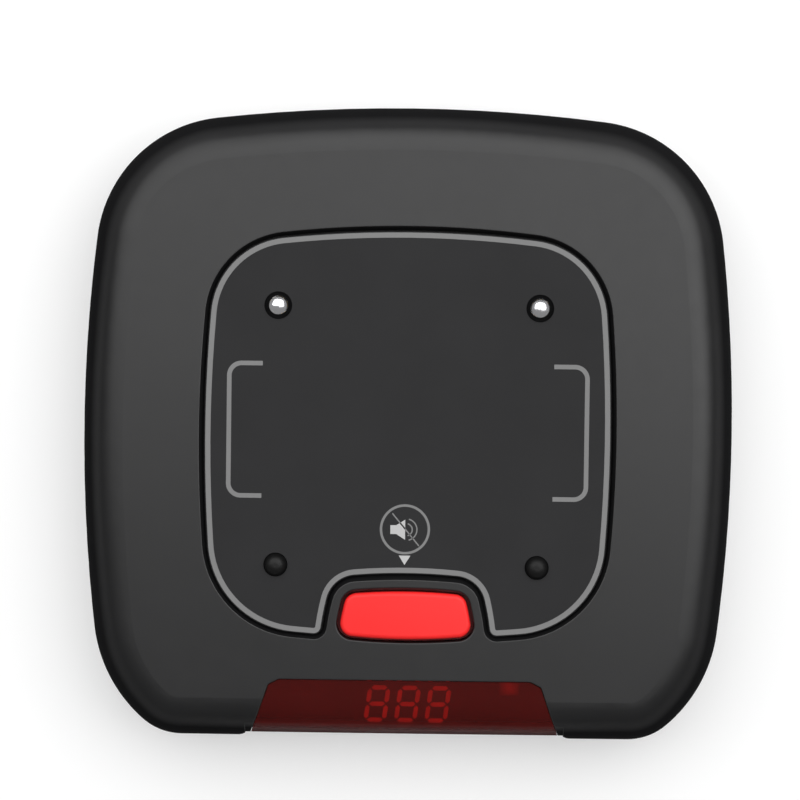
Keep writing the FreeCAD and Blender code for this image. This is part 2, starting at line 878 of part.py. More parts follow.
def window_corners(inset="0"):
    """The window from above: a flared shape with bevelled rear corners, open to the front."""
    rear = f"window_rear - ({inset})"
    shoulder = f"window_rear - window_bevel_depth - ({inset})"
    halves = [
        (f"window_rear_width / 2 - ({inset})", rear),
        (f"window_shoulder_width / 2 - ({inset})", shoulder),
        (f"window_front_width / 2 - ({inset})", f"bay_depth - {CASE_FRONT}"),
        (f"window_front_width / 2 - ({inset})", f"-{CASE_FRONT} - overrun"),
    ]
    return halves + [(f"-({x})", y) for x, y in reversed(halves)]


def window_corner_edges(box):
    """The upright edges at the window's four rear corners."""
    return upright(box) and box.YMin > value("window_rear - window_bevel_depth - window_wall")


def drawn_box(sketch, width, low_y, high_y):
    draw_polygon(
        sketch,
        [
            (f"-({width}) / 2", low_y),
            (f"({width}) / 2", low_y),
            (f"({width}) / 2", high_y),
            (f"-({width}) / 2", high_y),
        ],
    )


def flat_at(level):
    """A test for edges that lie level at a height."""
    height, near = value(level), value("pick_slack")
    return lambda box: abs(box.ZMin - height) < near and abs(box.ZMax - height) < near and box.XLength > near


def upright(box):
    """A test for edges that stand upright."""
    near = value("pick_slack")
    return box.XLength < near and box.YLength < near and box.ZLength > near


def columns(body, name, places, radius, low, length):
    """Round pillars on a body."""
    sketch = on_plane(body, name, "XY_Plane", low)
    for x, y in places:
        draw_circle(sketch, x, y, radius)
    return pad(body, sketch, length)


def bores(body, name, places, radius, low, depth):
    """Round holes in a body, cut upwards from a height."""
    sketch = on_plane(body, name, "XY_Plane", low)
    for x, y in places:
        draw_circle(sketch, x, y, radius)
    return pocket(body, sketch, depth)


CASE_SCREWS = corners_of("case_screw_across", "case_screw_front", "case_screw_rear")
BOARD_SCREWS = corners_of("board_screw_across", "board_screw_front", "board_screw_rear")
FEET = corners_of("foot_across", "foot_front", "foot_rear")
CONTACTS = [("-contact_across", "contact_rear"), ("contact_across", "contact_rear")]
POSTS = [("-contact_across", "post_front"), ("contact_across", "post_front")]
SIDES = ("left", "right")


# Top cover: crowned shell with a shelf for the panel, a hole for the button and bosses for screws
def top_cover():
    body = new_body("TopCover")
    shell = pillow(body, "top", "parting_height")
    bevel = body.newObject("PartDesign::Chamfer", "top_parting_bevel")
    bevel.Base = (shell, edges_where(shell, flat_at("parting_height")))
    tie(bevel, "Size", "parting_bevel")
    doc.recompute()

    hollow_out(body, "TopHollow", "parting_height - overrun", "wall", "ceiling_thickness")

    rebate = on_plane(body, "top_rebate", "XY_Plane", "parting_height")
    draw_chain(rebate, case_chain(), "wall / 2")
    pocket(body, rebate, "lip_height + lip_clearance")

    shelf = on_plane(body, "shelf", "XY_Plane", SHELF_UNDER)
    draw_chain(shelf, shelf_chain(), "-shelf_margin")
    pad(body, shelf, f"{CEILING} - ({SHELF_UNDER}) + bite")

    recess = on_plane(body, "panel_recess", "XY_Plane", SHELF_TOP)
    draw_chain(recess, panel_chain(), "-panel_gap")
    pocket(body, recess, f"case_height + overrun - ({SHELF_TOP})", draft="recess_draft")

    hole = on_plane(body, "button_hole", "XY_Plane", SHELF_UNDER)
    draw_chain(hole, button_chain(), "-button_gap")
    opened = pocket(body, hole, f"case_height + overrun - ({SHELF_UNDER})")
    hole_reach = value("button_mid_width / 2 + button_gap * 2")
    hole_front = value("button_centre - button_depth / 2 - button_gap * 2")
    hole_rear = value("button_centre + button_depth / 2 + button_gap * 2")
    low = value(PANEL_TOP)
    rounded(
        body,
        opened,
        "pocket_rounding",
        lambda box: box.ZMin > low
        and max(box.XMax, -box.XMin) < hole_reach
        and box.YMin > hole_front
        and box.YMax < hole_rear,
        "button_hole_edge",
    )

    bores(
        body,
        "pin_holes",
        CONTACTS,
        "pin_diameter / 2 + pin_hole_clearance",
        SHELF_UNDER,
        "shelf_thickness + overrun",
    )
    bores(body, "post_seats", POSTS, "post_diameter / 2", f"{SHELF_TOP} - post_seat", "post_seat + overrun")

    columns(
        body, "top_bosses", CASE_SCREWS, "boss_diameter / 2", "boss_joint", f"{CEILING} - boss_joint + bite"
    )
    bores(body, "top_pilots", CASE_SCREWS, "case_screw_diameter / 2", "boss_joint", "case_screw_length")

    sink_front(body, "TopFront")
    bay = on_plane(body, "top_bay", "XY_Plane", "parting_height")
    draw_bay(bay)
    pocket(body, bay, "case_height")
    opening = on_plane(body, "window_opening", "XY_Plane", "parting_height")
    draw_polygon(opening, window_corners())
    opened = pocket(body, opening, "case_height")
    rounded(body, opened, "window_corner_radius", window_corner_edges, "window_corners")
    return node(body, "top_cover")


SOUND_SLOTS = 3


# Bottom cover: tray with a lip inside the top cover, pillars, ribs and a cradle for the motor
def bottom_cover():
    body = new_body("BottomCover")
    outline = on_plane(body, "tray_outline", "XY_Plane", "foot_height")
    draw_chain(outline, case_chain())
    tray = pad(body, outline, "parting_height - foot_height")
    tray = rounded(body, tray, "base_edge_radius", flat_at("foot_height"), "tray_base_edge")
    bevel = body.newObject("PartDesign::Chamfer", "tray_parting_bevel")
    bevel.Base = (tray, edges_where(tray, flat_at("parting_height")))
    tie(bevel, "Size", "parting_bevel")
    doc.recompute()

    hollow = on_plane(body, "tray_hollow", "XY_Plane", FLOOR)
    draw_chain(hollow, case_chain(), "wall")
    hollowed = pocket(body, hollow, "parting_height")
    rounded(body, hollowed, "floor_corner_radius", flat_at(FLOOR), "tray_floor_corner")

    lip = on_plane(body, "tray_lip", "XY_Plane", "parting_height")
    draw_chain(lip, case_chain(), "wall / 2 + lip_clearance")
    draw_chain(lip, case_chain(), "wall")
    pad(body, lip, "lip_height")
    gap = on_plane(body, "lip_gap", "XY_Plane", "parting_height")
    drawn_box(gap, "window_front_width + wall * 2", f"-{CASE_FRONT} - overrun", f"wall * 2 - {CASE_FRONT}")
    pocket(body, gap, "lip_height + overrun")
    bay = on_plane(body, "tray_bay", "XY_Plane", "0")
    draw_bay(bay)
    pocket(body, bay, "case_height")

    columns(
        body,
        "case_pillars",
        CASE_SCREWS,
        "boss_diameter / 2",
        f"{FLOOR} - bite",
        f"boss_joint - lip_clearance - ({FLOOR}) + bite",
    )
    columns(
        body,
        "board_pillars",
        BOARD_SCREWS,
        "board_post_diameter / 2",
        f"{FLOOR} - bite",
        f"board_bottom - ({FLOOR}) + bite",
    )

    ribs = on_plane(body, "cell_ribs", "XY_Plane", f"{FLOOR} - bite")
    out_x = "cell_length / 2 + rib_gap"
    out_y = "cell_width / 2 + rib_gap"
    for side in (1, -1):
        end_x = f"cell_across + {side} * ({out_x} + rib_thickness / 2)"
        flank_y = f"cell_middle + {side} * ({out_y} + rib_thickness / 2)"
        for step in (1, -1):
            end_y = f"cell_middle + {step} * rib_spread"
            flank_x = f"cell_across + {step} * rib_spread"
            draw_polygon(ribs, rectangle(end_x, end_y, "rib_thickness", "rib_length"))
            draw_polygon(ribs, rectangle(flank_x, flank_y, "rib_length", "rib_thickness"))
    pad(body, ribs, "rib_height + bite")

    cradle = on_plane(body, "motor_cradle", "XY_Plane", f"{FLOOR} - bite")
    cradle_width = "motor_diameter + boot_thickness * 2 + cradle_wall * 2"
    draw_polygon(
        cradle,
        rectangle(
            "motor_across", "motor_front + cradle_start + boot_length / 2", cradle_width, "cradle_length"
        ),
    )
    pad(body, cradle, f"motor_height - ({FLOOR}) + bite")

    bores(
        body,
        "screw_seats",
        CASE_SCREWS,
        "case_screw_head / 2 + screw_clearance",
        "0",
        "foot_height + case_screw_seat",
    )
    bores(
        body,
        "screw_holes",
        CASE_SCREWS,
        "case_screw_diameter / 2 + screw_clearance",
        "foot_height + case_screw_seat / 2",
        "boss_joint",
    )
    bores(
        body,
        "board_pilots",
        BOARD_SCREWS,
        "board_screw_diameter / 2",
        "board_bottom - board_screw_length + board_thickness",
        "board_screw_length",
    )
    bores(body, "foot_seats", FEET, "foot_diameter / 2", "0", "foot_height + foot_seat")
    bores(
        body,
        "stud_seats",
        CONTACTS,
        "stud_head / 2 + stud_clearance",
        "0",
        "foot_height + stud_recess + stud_head_height",
    )
    bores(
        body, "stud_holes", CONTACTS, "stud_stem / 2 + stud_clearance", "foot_height", "floor_thickness * 2"
    )
    bores(body, "post_dimples", POSTS, "dimple_diameter / 2", "0", "foot_height + dimple_depth")

    slots = on_plane(body, "sound_slots", "XY_Plane", "0")
    for i in centred(SOUND_SLOTS):
        draw_polygon(
            slots,
            rectangle(f"buzzer_across + {i} * slot_pitch", "buzzer_middle", "slot_width", "slot_length"),
        )
    pocket(body, slots, f"{FLOOR} + bite")
    label = on_plane(body, "label_place", "XY_Plane", "0")
    draw_polygon(label, rectangle("0", "label_centre", "label_width", "label_depth"))
    sunken = pocket(body, label, "foot_height + label_recess")
    reach, middle = value("label_width / 2"), value("label_centre")
    near = value("pick_slack")
    rounded(
        body,
        sunken,
        "label_corner",
        lambda box: upright(box)
        and abs(abs(box.XMin) - reach) < near
        and abs(abs(box.YMin - middle) - value("label_depth / 2")) < near,
        "label_corners",
    )
    trough = rod(
        "cradle_trough",
        "motor_diameter / 2 + boot_thickness",
        "cradle_length + overrun",
        "motor_across",
        "motor_front + cradle_start + boot_length / 2 - (cradle_length + overrun) / 2",
        "motor_height",
        Y_AXIS,
    )
    return node(cut("BottomCoverCradled", body, trough), "bottom_cover")


def rectangle(x, y, length, width):
    return [
        (f"({x}) - ({length}) / 2", f"({y}) - ({width}) / 2"),
        (f"({x}) + ({length}) / 2", f"({y}) - ({width}) / 2"),
        (f"({x}) + ({length}) / 2", f"({y}) + ({width}) / 2"),
        (f"({x}) - ({length}) / 2", f"({y}) + ({width}) / 2"),
    ]


# Face panel and the adhesive film that holds it on the shelf
def face_panel():
    body = new_body("FacePanel")
    outline = on_plane(body, "panel_outline", "XY_Plane", f"{PANEL_TOP} - panel_thickness")
    draw_chain(outline, panel_chain())
    plate = pad(body, outline, "panel_thickness")
    rounded(body, plate, "panel_edge_rounding", flat_at(PANEL_TOP), "panel_edge")
    bores(
        body,
        "pin_wells",
        CONTACTS,
        "well_diameter / 2",
        f"{PANEL_TOP} - panel_thickness - overrun",
        "panel_thickness + overrun * 2",
    )
    bores(
        body,
        "post_wells",
        POSTS,
        "post_diameter / 2 + post_clearance",
        f"{PANEL_TOP} - panel_thickness - overrun",
        "panel_thickness + overrun * 2",
    )
    return node(body, "face_panel")


def panel_adhesive():
    body = new_body("PanelAdhesive")
    outline = on_plane(body, "film_outline", "XY_Plane", SHELF_TOP)
    draw_chain(outline, panel_chain(), "adhesive_margin")
    pad(body, outline, "adhesive_thickness")
    holes = CONTACTS + POSTS
    bores(
        body,
        "film_holes",
        holes,
        "well_diameter / 2 + adhesive_margin",
        f"{SHELF_TOP} - overrun",
        "adhesive_thickness + overrun * 2",
    )
    return node(body, "panel_adhesive")


# Red window: a curved plate over the front edge, level with the casing round it
def display_window():
    body = new_body("DisplayWindow")
    pillow(body, "window", "parting_height + window_clearance")
    hollow_out(body, "WindowHollow", "parting_height", "bay_depth + window_wall", "window_wall")
    sink_front(body, "WindowFront")
    around = on_plane(body, "window_trim", "XY_Plane", "0")
    drawn_box(around, "case_width + overrun * 2", f"-{CASE_FRONT} - overrun * 2", f"{CASE_FRONT} + overrun")
    draw_polygon(around, window_corners("window_clearance"))
    trimmed = pocket(body, around, "case_height + overrun")
    rounded(body, trimmed, "window_corner_radius", window_corner_edges, "window_plate_corners")
    return node(body, "display_window")


# Mute button: domed cap, a flange that keeps it under the cover and a rib over the switch
FLANGE_LOW = f"{SHELF_UNDER} - button_flange_gap - button_flange_thickness"


def mute_button():
    body = new_body("MuteButton")
    cap = on_plane(body, "cap_outline", "XY_Plane", FLANGE_LOW)
    draw_chain(cap, button_chain())
    pad(body, cap, f"case_height + button_proud + overrun - ({FLANGE_LOW})")
    crown = on_plane(body, "cap_crown", "XZ_Plane", "-button_centre")
    draw_crown(crown, "case_height + button_proud", "button_crown_radius", "button_mid_width", "overrun * 2")
    domed = turned(body, crown, cut=True)
    apex = value("case_height + button_proud")
    level = apex - value("overrun")
    pole = apex - value("pick_slack")
    rounded(body, domed, "button_edge_radius", lambda box: box.ZMin > level and box.ZMax < pole, "cap_edge")
    flange = on_plane(body, "cap_flange", "XY_Plane", FLANGE_LOW)
    draw_chain(flange, button_chain(), "-button_gap - button_flange_width")
    pad(body, flange, "button_flange_thickness")
    rib = on_plane(body, "cap_rib", "XY_Plane", f"{BOARD_TOP} + switch_height")
    draw_polygon(rib, rectangle("0", "button_centre", "button_rib_width", "button_rib_width"))
    pad(body, rib, f"{FLANGE_LOW} - ({BOARD_TOP}) - switch_height + bite")
    return node(body, "mute_button")


# Main board with holes for its screws and for the display's pins
PINS_IN_ROW = 6
PIN_PLACES = [
    (f"module_across + {i} * module_pin_pitch", f"module_centre + {side} * module_pin_rows / 2")
    for side in (-1, 1)
    for i in centred(PINS_IN_ROW)
]


def main_board():
    body = new_body("MainBoard")
    outline = on_plane(body, "board_outline", "XY_Plane", "board_bottom")
    drawn_box(outline, "board_width", "board_front", "board_rear")
    plate = pad(body, outline, "board_thickness")
    rounded(body, plate, "board_corner_radius", upright, "board_corners")
    bores(
        body,
        "board_screw_holes",
        BOARD_SCREWS,
        "board_screw_diameter / 2 + screw_clearance",
        "board_bottom - overrun",
        "board_thickness + overrun * 2",
    )
    bores(
        body,
        "board_pin_holes",
        PIN_PLACES,
        "module_pin_diameter / 2 + screw_clearance / 2",
        "board_bottom - overrun",
        "board_thickness + overrun * 2",
    )
    return node(body, "main_board")


# Display: a black module with three seven-bar digits let into its face
MODULE_LOW = f"{BOARD_TOP} + module_standoff"
MODULE_TOP = f"{MODULE_LOW} + module_height"


DIGITS = 3


def digit_bars():
    """The seven bars of one digit, as slanted hexagons round the digit's middle."""
    half_x = "(digit_width - segment_width) / 2"
    half_y = "(digit_height - segment_width) / 2"
    nib = "segment_width / 2"
    bars = []
    for level in (-1, 0, 1):
        y = f"{level} * {half_y}"
        end = f"({half_x} - segment_gap)"
        bars.append([
            (f"-{end}", y),
            (f"-{end} + {nib}", f"{y} - {nib}"),
            (f"{end} - {nib}", f"{y} - {nib}"),
            (end, y),
            (f"{end} - {nib}", f"{y} + {nib}"),
            (f"-{end} + {nib}", f"{y} + {nib}"),
        ])
    for side in (-1, 1):
        for bottom, top in (
            (f"segment_gap - {half_y}", "-segment_gap"), ("segment_gap", f"{half_y} - segment_gap")
        ):
            x = f"{side} * {half_x}"
            bars.append([
                (x, bottom),
                (f"{x} + {nib}", f"{bottom} + {nib}"),
                (f"{x} + {nib}", f"{top} - {nib}"),
                (x, top),
                (f"{x} - {nib}", f"{top} - {nib}"),
                (f"{x} - {nib}", f"{bottom} + {nib}"),
            ])
    return [[(f"{x} + ({y}) * digit_slant / digit_height", y) for x, y in bar] for bar in bars]


def display():
    sketch = doc.addObject("Sketcher::SketchObject", "digit")
    for bar in digit_bars():
        draw_polygon(sketch, bar)
    digit = doc.addObject("Part::Extrusion", "digit_bars")
    digit.Base = sketch
    digit.DirMode = "Normal"
    digit.Solid = True
    tie(digit, "LengthFwd", "segment_thickness")
    places = [
        (f"module_across + {i} * digit_pitch", "module_centre", f"{MODULE_TOP} - segment_thickness")
        for i in centred(DIGITS)
    ]
    node(copies("Segments", digit, places), "display_segments")
    box = block(
        "ModuleBlock",
        "module_width",
        "module_depth",
        "module_height",
        "module_across",
        "module_centre",
        MODULE_LOW,
    )
    node(cut("Module", box, copies("segment_seats", digit, places)), "display_module")
    pin_low = "board_bottom - module_pin_proud"
    pin = rod("module_pin", "module_pin_diameter / 2", f"{MODULE_LOW} - ({pin_low})")
    node(copies("ModulePins", pin, [(x, y, pin_low) for x, y in PIN_PLACES]), "display_pins")
    led = block("led_block", "led_length", "led_width", "led_height")
    led = smoothed("led_body", led, "led_rounding", flat_at("led_height"))
    node(
        copies(
            "FlashLeds",
            led,
            [("-led_across", "led_middle", BOARD_TOP), ("led_across", "led_middle", BOARD_TOP)],
        ),
        "flash_leds",
    )


# Charging contacts: sprung pins above, riveted studs below; black posts carry the front of a stack
def contacts():
    barrel_height = "barrel_base + spring_room + pin_flange_height + pin_clearance + barrel_lip"
    bore = "pin_flange_diameter / 2 + pin_clearance"
    for side, (x, y) in zip(SIDES, CONTACTS):
        throat = "pin_diameter / 2 + pin_clearance"
        lip_under = f"{barrel_height} - barrel_lip"
        barrel = turned_piece(f"Barrel_{side}", [
            ("0", "0"),
            ("barrel_diameter / 2", "0"),
            ("barrel_diameter / 2", barrel_height),
            (throat, barrel_height),
            (throat, lip_under),
            (bore, lip_under),
            (bore, "barrel_base"),
            ("0", "barrel_base"),
        ])
        node(place(barrel, x, y, BOARD_TOP), f"contact_barrel_{side}")

        pin_low = f"{BOARD_TOP} + barrel_base + spring_room"
        pin_length = f"case_height + contact_proud - ({pin_low})"
        pin = turned_piece(
            f"Pin_{side}",
            [
                ("0", "0"),
                ("pin_flange_diameter / 2", "0"),
                ("pin_flange_diameter / 2", "pin_flange_height"),
                ("pin_diameter / 2", "pin_flange_height"),
                ("pin_diameter / 2", pin_length),
                ("0", pin_length),
            ],
        )
        dome = on_plane(pin, f"pin_dome_{side}", "XZ_Plane")
        draw_crown(dome, pin_length, "pin_dome_radius", "(pin_diameter / 2 + pin_dome_radius) / 2", "overrun")
        turned(pin, dome, cut=True)
        node(place(pin, x, y, pin_low), f"contact_pin_{side}")

        reach = "(spring_diameter - spring_wire) / 2"
        helix = doc.addObject("Part::Helix", f"spring_helix_{side}")
        tie(helix, "Pitch", "spring_pitch")
        tie(helix, "Height", "spring_room - spring_wire")
        tie(helix, "Radius", reach)
        ring = doc.addObject("Part::Circle", f"spring_ring_{side}")
        tie(ring, "Radius", "spring_wire / 2")
        ring.Placement.Rotation = FreeCAD.Rotation(X_AXIS, 90)
        tie(ring, "Placement.Base.x", reach)
        spring = swept(f"Spring_{side}", ring, helix)
        node(place(spring, x, y, f"{BOARD_TOP} + barrel_base + spring_wire / 2"), f"contact_spring_{side}")

        head_low = "foot_height + stud_recess"
        stud = turned_piece(f"Stud_{side}", [
            ("0", head_low),
            ("stud_head / 2", head_low),
            ("stud_head / 2", f"{head_low} + stud_head_height"),
            ("stud_stem / 2", f"{head_low} + stud_head_height"),
            ("stud_stem / 2", "board_bottom"),
            ("0", "board_bottom"),
        ])
        node(place(stud, x, y), f"charge_stud_{side}")

    post_low = f"{SHELF_TOP} - post_seat"
    post_length = f"case_height + post_proud - ({post_low})"
    post = turned_piece(
        "Post",
        [("0", "0"), ("post_diameter / 2", "0"), ("post_diameter / 2", post_length), ("0", post_length)],
        [(post_length, "post_dome_radius")],
    )
    node(copies("Posts", post, [(x, y, post_low) for x, y in POSTS]), "stacking_posts")


def swept(name, ring, path):
    item = doc.addObject("Part::Sweep", name)
    item.Sections = [ring]
    item.Spine = (path, ["Edge1"])
    item.Solid = True
    item.Frenet = True
    return item


# Fasteners and feet
def screw(name, diameter, head, head_height, length):
    """A pan-head screw that points down from z = 0, with a cross in its head."""
    body = turned_piece(name + "_turned", [
        ("0", f"-{length}"),
        (f"{diameter} / 2", f"-{length}"),
        (f"{diameter} / 2", "0"),
        (f"{head} / 2", "0"),
        (f"{head} / 2", head_height),
        ("0", head_height),
    ], [(head_height, f"{head_height} * head_rounding_share")])
    low = f"{head_height} - cross_depth"
    along = block(name + "_slot_x", "cross_reach", "cross_width", "cross_depth * 2", "0", "0", low)
    across = block(name + "_slot_y", "cross_width", "cross_reach", "cross_depth * 2", "0", "0", low)
    return cut(name, body, along, across)


def fasteners():
    case_screw = screw(
        "CaseScrew", "case_screw_diameter", "case_screw_head", "case_screw_head_height", "case_screw_length"
    )
    seat = "foot_height + case_screw_seat"
    places = [(x, y, seat) for x, y in CASE_SCREWS]
    node(copies("CaseScrews", case_screw, places, upside_down=True), "case_screws")
    board_screw = screw(
        "BoardScrew",
        "board_screw_diameter",
        "board_screw_head",
        "board_screw_head_height",
        "board_screw_length",
    )
    node(copies("BoardScrews", board_screw, [(x, y, BOARD_TOP) for x, y in BOARD_SCREWS]), "board_screws")
    foot_top = "foot_height + foot_seat"
    foot = turned_piece(
        "Foot",
        [("0", "0"), ("foot_diameter / 2", "0"), ("foot_diameter / 2", foot_top), ("0", foot_top)],
        [("0", "foot_rounding")],
    )
    node(copies("Feet", foot, [(x, y, "0") for x, y in FEET]), "foot_pads")


# Tactile switch under the button
def tactile_switch():
    y = "button_centre"
    body = block("switch_block", "switch_width", "switch_width", "switch_body_height", "0", y, BOARD_TOP)
    bore_radius = "switch_stem_diameter / 2 + switch_bore_clearance"
    well = rod("switch_well", bore_radius, "switch_body_height", "0", y, f"{BOARD_TOP} + switch_floor")
    node(cut("SwitchBody", body, well), "switch_body")
    plate_low = f"{BOARD_TOP} + switch_body_height"
    plate = block("switch_sheet", "switch_width", "switch_width", "switch_plate_thickness", "0", y, plate_low)
    hole = rod(
        "switch_sheet_hole",
        bore_radius,
        "switch_plate_thickness * 2",
        "0",
        y,
        f"{plate_low} - switch_plate_thickness / 2",
    )
    node(cut("SwitchPlate", plate, hole), "switch_plate")
    stem_length = "switch_height - switch_stem_foot"
    stem = rod(
        "SwitchStem", "switch_stem_diameter / 2", stem_length, "0", y, f"{BOARD_TOP} + switch_stem_foot"
    )
    node(stem, "switch_stem")
    rim = "switch_stem_diameter / 2 - switch_bore_clearance"
    crest = "switch_stem_foot - switch_bore_clearance"
    foot = "switch_stem_foot - switch_bore_clearance - dome_rise"
    dome = turned_piece("SwitchDome", [
        ("0", f"{crest} - dome_thickness"),
        (rim, f"{foot} - dome_thickness"),
        (rim, foot),
        ("0", crest),
    ])
    node(place(dome, "0", y, BOARD_TOP), "switch_dome")
    legs = []
    for side in (-1, 1):
        for end in (-1, 1):
            name = f"switch_leg_{len(legs)}"
            x = f"{side} * (switch_width + switch_leg_reach) / 2"
            leg_y = f"button_centre + {end} * switch_leg_spread / 2"
            legs.append(
                block(
                    name, "switch_leg_reach", "switch_leg_width", "switch_leg_thickness", x, leg_y, BOARD_TOP
                ),
            )
    node(group("SwitchLegs", *legs), "switch_legs")


# Battery under the board, held by ribs and a strip of tape
def battery():
    node(
        block("Tape", "tape_length", "tape_width", "tape_thickness", "cell_across", "cell_middle", FLOOR),
        "battery_tape",
    )
    cell_low = f"{FLOOR} + tape_thickness"
    cell = block(
        "cell_block", "cell_length", "cell_width", "cell_thickness", "cell_across", "cell_middle", cell_low
    )
    lengthwise = smoothed("Cell", cell, "cell_rounding", lambda box: box.XLength > value("cell_length / 2"))
    node(lengthwise, "battery_cell")
    shell = block(
        "socket_shell",
        "socket_length",
        "socket_width",
        "socket_height",
        "socket_across",
        "socket_middle",
        BOARD_TOP,
    )
    hollow_low = f"{BOARD_TOP} + socket_wall"
    hollow = block(
        "socket_hollow",
        "socket_length",
        "socket_width - socket_wall * 2",
        "socket_height - socket_wall * 2",
        "socket_across + socket_wall",
        "socket_middle",
        hollow_low,
    )
    node(cut("Socket", shell, hollow), "battery_socket")
    plug = block(
        "Plug",
        "plug_length",
        "socket_width - socket_wall * 2 - plug_clearance * 2",
        "socket_height - socket_wall * 2 - plug_clearance * 2",
        f"{PLUG_END} - plug_length / 2",
        "socket_middle",
        f"{hollow_low} + plug_clearance",
    )
    node(plug, "battery_plug")


PLUG_END = "socket_across + socket_length / 2 + socket_wall"


# Vibration motor: can in a rubber boot, and a weight on its shaft that runs off centre
def motor():
    can = rod(
        "motor_drum",
        "motor_diameter / 2",
        "motor_length",
        "motor_across",
        "motor_front",
        "motor_height",
        Y_AXIS,
    )
    nose = rod(
        "motor_nose",
        "motor_nose_diameter / 2",
        "motor_nose_length",
        "motor_across",
        "motor_front + motor_length",
        "motor_height",
        Y_AXIS,
    )
    bore_start = "motor_front + motor_length / 2"
    bore = rod(
        "motor_bore",
        "shaft_diameter / 2 + shaft_clearance",
        "motor_length",
        "motor_across",
        bore_start,
        "motor_height",
        Y_AXIS,
    )
    node(cut("MotorCan", fused("motor_shell", can, nose), bore), "motor_can")
    nose_end = "motor_front + motor_length + motor_nose_length"
    shaft_start = f"{bore_start} + weight_gap"
    shaft = rod(
        "Shaft",
        "shaft_diameter / 2",
        f"{nose_end} + shaft_proud - ({shaft_start})",
        "motor_across",
        shaft_start,
        "motor_height",
        Y_AXIS,
    )
    node(shaft, "motor_shaft")
    boot_start = "motor_front + cradle_start"
    sleeve = rod(
        "boot_sleeve",
        "motor_diameter / 2 + boot_thickness",
        "boot_length",
        "motor_across",
        boot_start,
        "motor_height",
        Y_AXIS,
    )
    inner = rod(
        "boot_bore",
        "motor_diameter / 2",
        "boot_length + overrun",
        "motor_across",
        f"{boot_start} - overrun / 2",
        "motor_height",
        Y_AXIS,
    )
    node(cut("MotorBoot", sleeve, inner), "motor_boot")
    weight_start = f"{nose_end} + weight_gap"
    disc = rod(
        "weight_disc", "weight_radius", "weight_length", "motor_across", weight_start, "motor_height", Y_AXIS
    )
    upper = block(
        "weight_upper",
        "weight_radius * 3",
        "weight_length * 2",
        "weight_radius * 2",
        "motor_across",
        f"{weight_start} + weight_length / 2",
        "motor_height",
    )
    hub = rod(
        "weight_hub", "weight_hub", "weight_length", "motor_across", weight_start, "motor_height", Y_AXIS
    )
    hole = rod(
        "weight_hole",
        "shaft_diameter / 2",
        "weight_length * 2",
        "motor_across",
        f"{weight_start} - weight_length / 2",
        "motor_height",
        Y_AXIS,
    )
    half = cut("weight_half", disc, upper)
    node(cut("EccentricWeight", fused("weight_blank", half, hub), hole), "eccentric_weight")


# Buzzer over the sound slots
def buzzer():
    height = "buzzer_height"
    shell = turned_piece("BuzzerBody", [
        ("buzzer_mouth / 2", "0"),
        ("buzzer_diameter / 2", "0"),
        ("buzzer_diameter / 2", height),
        ("0", height),
        ("0", f"{height} - buzzer_wall"),
        ("buzzer_diameter / 2 - buzzer_wall", f"{height} - buzzer_wall"),
        ("buzzer_diameter / 2 - buzzer_wall", "buzzer_wall * 2"),
        ("buzzer_mouth / 2", "buzzer_wall * 2"),
    ])
    node(place(shell, "buzzer_across", "buzzer_middle", FLOOR), "buzzer_body")
    disc = rod(
        "BuzzerDisc",
        "buzzer_disc_diameter / 2",
        "buzzer_disc_thickness",
        "buzzer_across",
        "buzzer_middle",
        f"{FLOOR} + buzzer_wall * 2",
    )
    node(disc, "buzzer_disc")


# Chips and small parts on the main board
CHIP_LEADS_A_SIDE = 8
PART_ROWS = 2
PART_COLUMNS = 6


